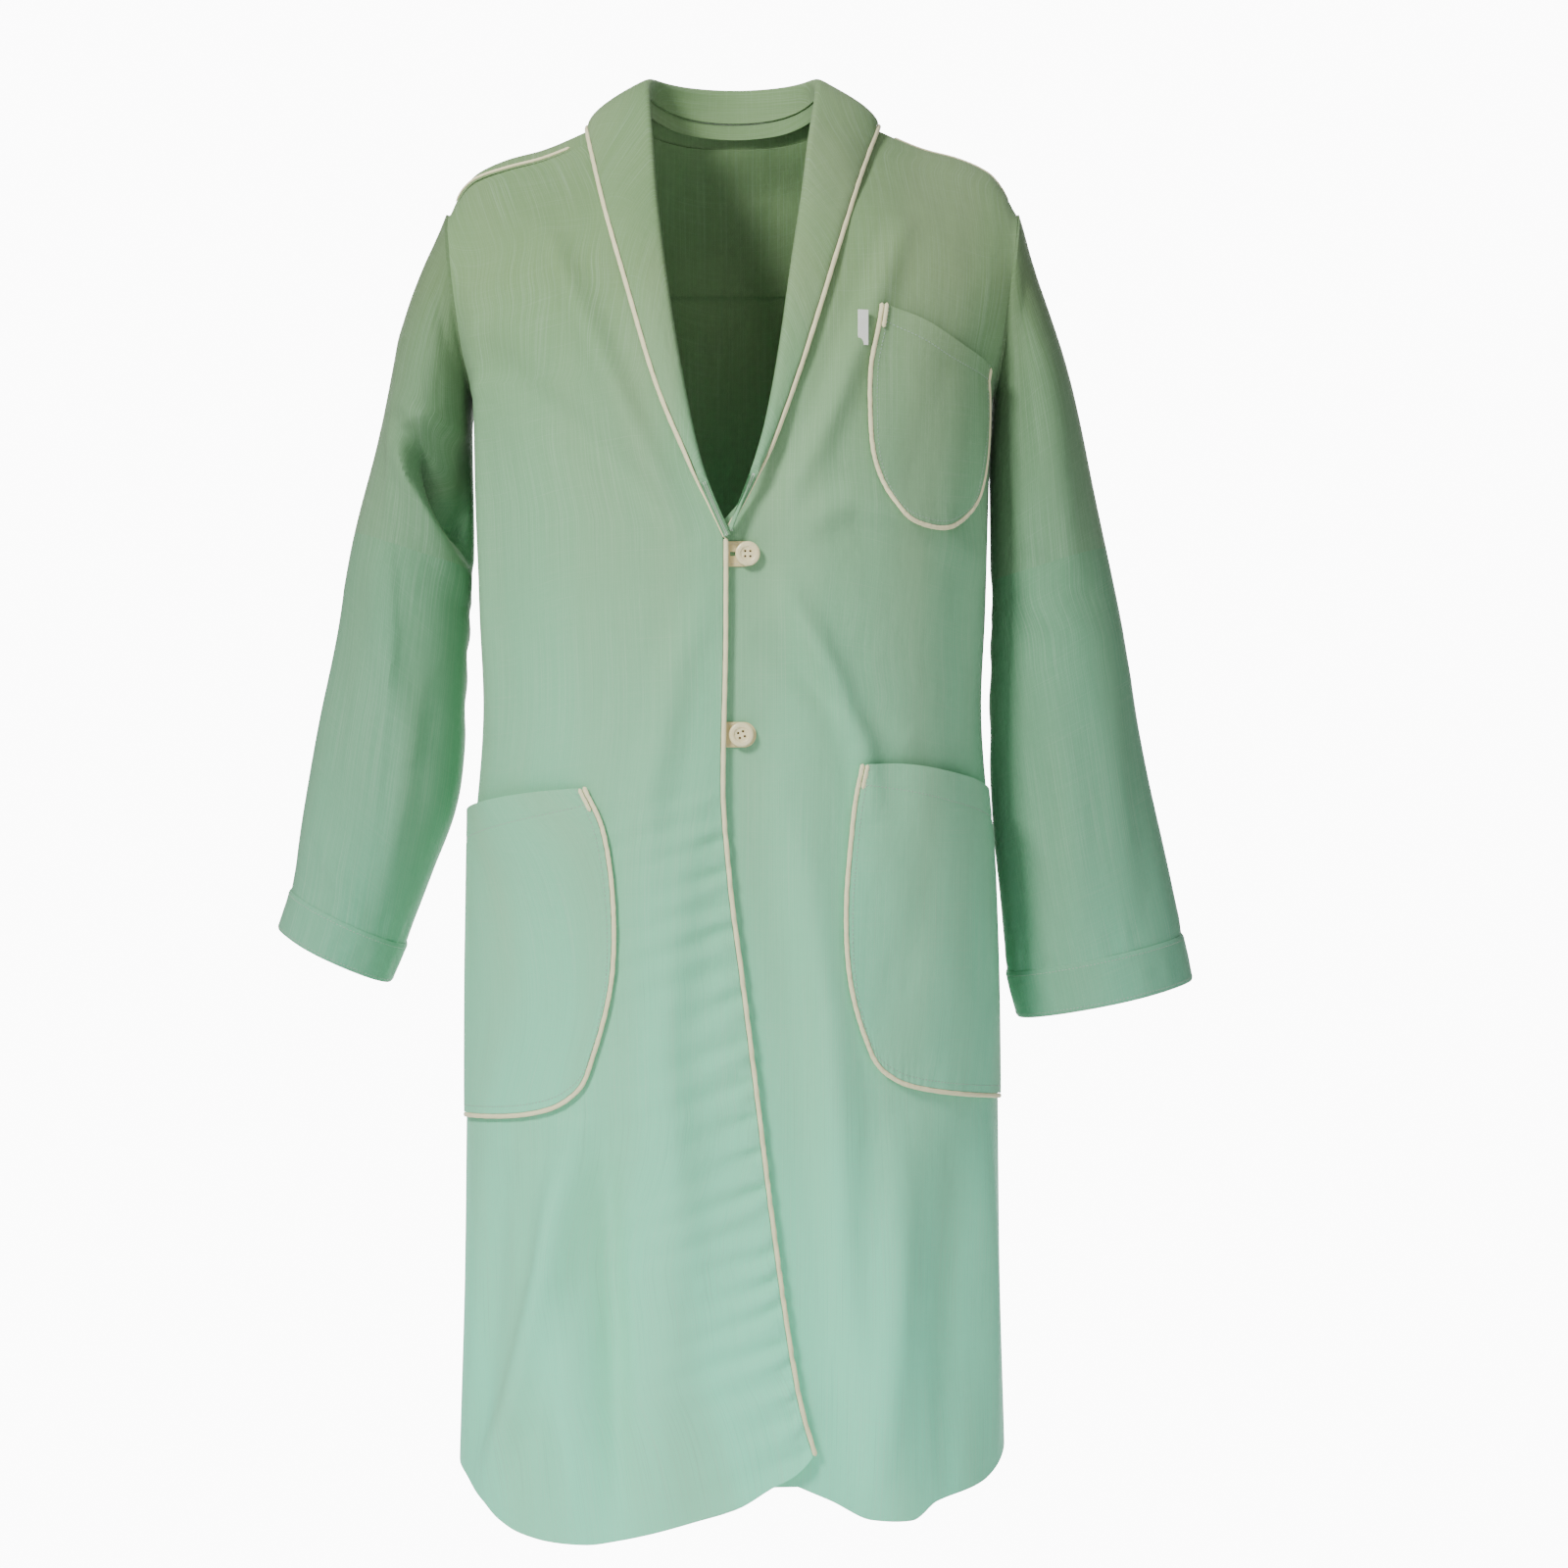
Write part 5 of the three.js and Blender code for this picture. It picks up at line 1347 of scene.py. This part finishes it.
for name in POCKETS:
    side = POCKETS[name][0]
    columns, rows = (90, 130) if name != "breast" else (80, 110)
    plain, points, normals = pocket_points(name, columns, rows)
    pocket = shell(f"{name}_patch", points, 0, 0.9, normals=normals)
    hem_rows = slice(int(rows * (1 - HEM_DEEP)), rows)
    hem = shell(f"{name}_mouth_hem", points[hem_rows, 2:-2], -0.75, -0.15, normals=normals[hem_rows, 2:-2])
    for piece, part in ((pocket, plain), (hem, plain[hem_rows, 2:-2])):
        dress(piece, mint, "mint_cloth", "torso")
        declare(piece, part)
    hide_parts(f"{name}_pocket")
    path = [points[::-1, 0], points[0, 1:]] + ([points[1:, -1]] if name == "breast" else [])
    facing = [normals[::-1, 0], normals[0, 1:]] + ([normals[1:, -1]] if name == "breast" else [])
    path, facing = np.concatenate(path), np.concatenate(facing)
    beside = np.broadcast_to(points[rows // 2, columns // 2], path.shape)
    piece = along_edge(f"{name}_pocket_cord", path, beside, facing, out=2.0, rise=0.3)
    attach(piece, "torso")
    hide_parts(f"{name}_pocket_piping")
    ends = [(points[::-1, 0], normals[::-1, 0])]
    if name == "breast":
        ends.append((points[::-1, -1], normals[::-1, -1]))
    for k, (edge, lean) in enumerate(ends):
        short = lengths(edge[:, None], 0)[:, 0] < TURNED_BACK * MM
        beside = np.broadcast_to(points[rows // 2, columns // 2], edge[short].shape)
        piece = along_edge(f"{name}_cord_end_{k + 1}", edge[short], beside, lean[short],
                           out=-1.3, rise=1.7, half_width=1.6, half_thick=0.9)
        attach(piece, "torso")
    inset, surface = 3, points + normals * 1.0
    run = [surface[:inset - 1:-1, inset], surface[inset, inset + 1:]]
    lean = [normals[:inset - 1:-1, inset], normals[inset, inset + 1:]]
    if name == "breast":
        run[1], lean[1] = run[1][: -inset - 1], lean[1][: -inset - 1]
        run, lean = run + [surface[inset:, -inset - 1]], lean + [normals[inset:, -inset - 1]]
    stitches(f"{name}_pocket_stitches", np.concatenate(run), np.concatenate(lean), "torso", mint_thread)
    at = int(rows * (1 - HEM_DEEP))
    stitches(f"{name}_hem_stitches", surface[at, 2:-2], normals[at, 2:-2], "torso", mint_thread, long=2.3)

# %% [markdown]
# ## Buttons, tabs and label
# Each button has a raised round rim, a dished middle and four holes. It is turned about its own axis, and
# the holes are cut through. The thread that holds it runs down behind it. A stitched cotton tab stands
# out from under the right edge, with a slit for the button.

# %% Cutting one mesh from another
def cut_out(piece, tools):
    """Takes the tools' shapes out of a piece and leaves a plain mesh."""
    for tool in tools:
        cutter = piece.modifiers.new("cut", "BOOLEAN")
        cutter.operation, cutter.solver, cutter.object = "DIFFERENCE", "EXACT", tool
    bpy.context.view_layer.update()
    made = bpy.data.meshes.new_from_object(piece.evaluated_get(bpy.context.evaluated_depsgraph_get()))
    piece.modifiers.clear()
    piece.data = made
    for tool in tools:
        bpy.data.objects.remove(tool)
    piece.data.set_sharp_from_angle(angle=math.radians(35))


def turned_solid(name, profile, at, around=72):
    """A profile of (radius, depth) pairs turned about Y at a place, closed at both ends."""
    profile = np.array(profile, float)
    angle = np.arange(around) * 2 * np.pi / around
    ring = np.stack([profile[:, :1] * np.cos(angle), np.broadcast_to(profile[:, 1:], (len(profile), around)),
                     profile[:, :1] * np.sin(angle)], axis=-1) + at
    fan = np.array([[0, k, k + 1, k + 2] for k in range(1, around - 1, 2)])
    wall = quads(len(profile), around, 0, closed=True)
    faces = np.concatenate([wall, fan[:, ::-1], fan + (len(profile) - 1) * around])
    return put_mesh(name, ring.reshape(-1, 3), faces)


RIM = [(0.3, 1.15), (3.0, 1.15), (4.6, 1.0), (5.0, 0.6), (5.35, 0.15), (5.9, -0.08), (6.9, -0.16), (7.9, 0.0),
       (8.55, 0.35), (8.9, 0.8), (9.0, 1.3), (8.85, 1.9), (8.3, 2.4), (7.4, 2.6), (0.3, 2.6)]
HOLE_AT, HOLE_RADIUS = 1.9, 0.9
# The shank's wide top sits behind the four holes, and its near-black thread paints the shade seen in them.
SHANK = [(2.9, 2.72), (3.0, 2.85), (2.7, 3.0), (1.05, 3.4), (0.95, 4.4), (1.15, 5.5)]
for name, (x, z, turn) in BUTTONS.items():
    face = float(on_front(x, z)[1])
    at = np.array([x, face, z])
    button = turned_solid(f"{name}_resin_button", RIM, at)
    spin = math.radians(turn)
    corners = [(HOLE_AT * sx, HOLE_AT * sz) for sx in (-1, 1) for sz in (-1, 1)]
    c, s = math.cos(spin), math.sin(spin)
    holes = [(cx * c - cz * s, cx * s + cz * c) for cx, cz in corners]
    cut_out(button, [turned_solid("hole", [(HOLE_RADIUS + 0.2, 0.5), (HOLE_RADIUS, 1.15), (HOLE_RADIUS, 3.2)],
                                  at + [hx, 0, hz], around=20) for hx, hz in holes])
    button.data.materials.clear()
    dress(button, resin, "button_resin", f"{name}_button_body", f"{name}_button")
    shank = turned_solid(f"{name}_shank", SHANK, at, around=20)
    dress(shank, knot_thread_painted_shade, "sewing_thread", "torso", f"{name}_button_thread")

# %% Tabs
TAB_FROM, TAB_TO, TAB_HALF, SLIT_FROM = -16.0, 20.0, 9.2, 1.0


def tab(name, z, face):
    """A flat tab with one round end. Its faces round off over the last millimetre, as a turned edge does."""
    u, v = grid(60, 28)
    s = 2 * v - 1
    x = lerp(TAB_FROM, TAB_TO, 1 - (1 - u) ** 1.6)
    end = np.clip((x - (TAB_TO - TAB_HALF)) / TAB_HALF, 0, 1)
    half = TAB_HALF * np.maximum(np.sqrt(1 - end**2), 0.05)
    edge = np.minimum(half * (1 - np.abs(s)), (TAB_TO - x) * 1.2 + 0.02)
    round_off = 0.45 * (1 - np.sqrt(np.clip(1 - (1 - np.clip(edge / 1.1, 0, 1)) ** 2, 0, 1)))
    quilt = 0.12 * np.exp(-((edge - 1.9) / 0.35) ** 2)
    middle = face + 4.75
    front = np.stack([x, middle - 0.62 + round_off + quilt, z + half * s], axis=-1)
    back = np.stack([x, middle + 0.62 - round_off, z + half * s], axis=-1)
    rows, columns = x.shape
    count = rows * columns
    rims = []
    along, up = np.arange(columns), np.arange(rows) * columns
    for cur in (along, count - columns + along, up, up + columns - 1):
        rims.append(np.stack([cur[:-1], cur[1:], cur[1:] + count, cur[:-1] + count], axis=-1))
    rims[0], rims[3] = rims[0][:, ::-1], rims[3][:, ::-1]
    front_faces = quads(rows, columns)[:, ::-1]
    faces = np.concatenate([front_faces, quads(rows, columns, count), *[r[:, ::-1] for r in rims]])
    uv = np.stack([x, half * s], axis=-1).reshape(-1, 2) * MM
    points = np.concatenate([front.reshape(-1, 3), back.reshape(-1, 3)])
    piece = put_mesh(name, points, faces, np.concatenate([uv, uv]), sharp=50)
    reach = [TAB_FROM + 4, *np.linspace(TAB_FROM + 8, TAB_TO - TAB_HALF, 12)]
    turn = np.linspace(-np.pi / 2, np.pi / 2, 40)
    inner = TAB_HALF - 1.9
    line = np.concatenate([
        [(a, -inner) for a in reach],
        [(TAB_TO - TAB_HALF + inner * math.cos(b), inner * math.sin(b)) for b in turn[1:-1]],
        [(a, inner) for a in reach[::-1]]])
    line = np.stack([line[:, 0], 0 * line[:, 0] + middle - 0.60, z + line[:, 1]], axis=1)
    return piece, line


for name, (x, z, turn) in BUTTONS.items():
    face = float(on_front(x, z)[1])
    piece, line = tab(f"{name}_cotton_tab", z, face)
    slit_points = np.array([[end, face + 3.5, z + half] for end, half in (
        (SLIT_FROM, -1.5), (x + 3, -1.5), (x + 3, 1.5), (SLIT_FROM, 1.5))])
    slit_points = np.concatenate([slit_points, slit_points + [0, 2.6, 0]])
    slit_faces = np.array([
        [0, 1, 2, 3], [7, 6, 5, 4], [0, 4, 5, 1], [1, 5, 6, 2], [2, 6, 7, 3], [3, 7, 4, 0],
    ])
    cut_out(piece, [put_mesh("slit", slit_points, slit_faces)])
    piece.data.materials.clear()
    dress(piece, tab_cotton, "ivory_tab", "torso", f"{name}_button_tab")
    out = np.broadcast_to(np.array([0.0, -1.0, 0.0]), line.shape)
    stitches(f"{name}_tab_stitches", line, out, "torso", ivory_thread,
             pitch=1.9, long=1.4, wide=0.2, high=0.2)

# %% The blank label
LABEL_X, LABEL_HALF, LABEL_LOW, LABEL_HIGH = 94.0, 1.05, -210.0, -184.0
label_depth = float(on_front(103.0, -204.0)[1]) - 8.6
u, v = grid(60, 40)
bend = np.pi * np.clip((u - 0.4) / 0.2, 0, 1)
straight = np.where(u < 0.5, (0.4 - np.minimum(u, 0.4)) / 0.4, (np.maximum(u, 0.6) - 0.6) / 0.4)
label_points = np.stack([
    LABEL_X + LABEL_HALF - 0.9 * np.sin(bend) + 6.6 * straight,
    label_depth - 0.75 * np.cos(bend) + 0.12 * np.sin(v * 9) * (1 - straight),
    lerp(LABEL_LOW, LABEL_HIGH, v) + 0.4 * straight * np.sin(v * 4),
], axis=-1)
label_heart = np.array([LABEL_X + 4.0, label_depth, -197.0]) * [1, 1, 0] + label_points * [0, 0, 1]
label = shell("blank_label", label_points, -0.18, 0.18, centre=label_heart)
dress(label, label_tape, "label_tape", "torso", "pocket_label")
declare(label, label_points)

# %% [markdown]
# ## Light
# The key stands high in front, to the wearer's right. A broad weaker fill stands low in front, and two
# weak lights stand above and behind. The backdrop is a flat sheet that glows evenly, and the floor is a
# second flat sheet below the hem.

# %% Studio
def soft_light(name, place, aim, size, power, colour=(1, 1, 1)):
    """A square area light at a place, turned to face its aim."""
    data = bpy.data.lights.new(name, "AREA")
    data.size, data.energy, data.color = size, power, colour
    light = bpy.data.objects.new(name, data)
    light.location = place
    way = np.array(aim, float) - np.array(place, float)
    flat = math.hypot(way[0], way[1])
    tilt, turn = math.atan2(way[2], flat), math.atan2(way[1], way[0])
    light.rotation_euler = (math.pi / 2 + tilt, 0, turn - math.pi / 2)
    bpy.context.scene.collection.objects.link(light)


soft_light("key", (-1.25, -1.7, 0.95), (0, 0, -0.75), 0.55, 66, (1.0, 0.99, 0.95))
soft_light("fill", (0.5, -2.3, -1.25), (0, 0, -0.9), 1.2, 15, (0.95, 0.98, 1.0))
soft_light("top", (0.3, -1.2, 1.5), (0, 0, -0.5), 0.9, 4, (1.0, 0.96, 0.86))
soft_light("behind", (0.3, 2.2, 0.6), (0, 0, -0.5), 2.0, 8)

world = bpy.data.worlds.new("world")
world.use_nodes = True
world.node_tree.nodes["Background"].inputs["Color"].default_value = (1, 1, 1, 1)
world.node_tree.nodes["Background"].inputs["Strength"].default_value = 0.30
bpy.context.scene.world = world

FLOOR_AT, WALL_AT, WALL_HALF, WALL_GLOW = -1.52, 4.8, 2.35, 11.0


def plane(name, corners, glow):
    """A flat staging sheet between four corners, in metres, that may glow evenly."""
    sheet = put_mesh(name, np.array(corners, float) / MM, np.array([[0, 1, 2, 3]]))
    material, shader = new_material(name, (0.95, 0.95, 0.95), 0.9)
    shader.inputs["Emission Color"].default_value = (1, 1, 1, 1)
    shader.inputs["Emission Strength"].default_value = glow
    sheet.data.materials.append(material)


low, high = CAMERA_AT[2] - WALL_HALF, CAMERA_AT[2] + WALL_HALF
plane("backdrop", [(-WALL_HALF, WALL_AT, low), (WALL_HALF, WALL_AT, low), (WALL_HALF, WALL_AT, high),
                   (-WALL_HALF, WALL_AT, high)], WALL_GLOW)
plane("floor", [(-3, -3, FLOOR_AT), (3, -3, FLOOR_AT), (3, 0.5, FLOOR_AT), (-3, 0.5, FLOOR_AT)], 0.0)

# %% Finish
print("scene built")
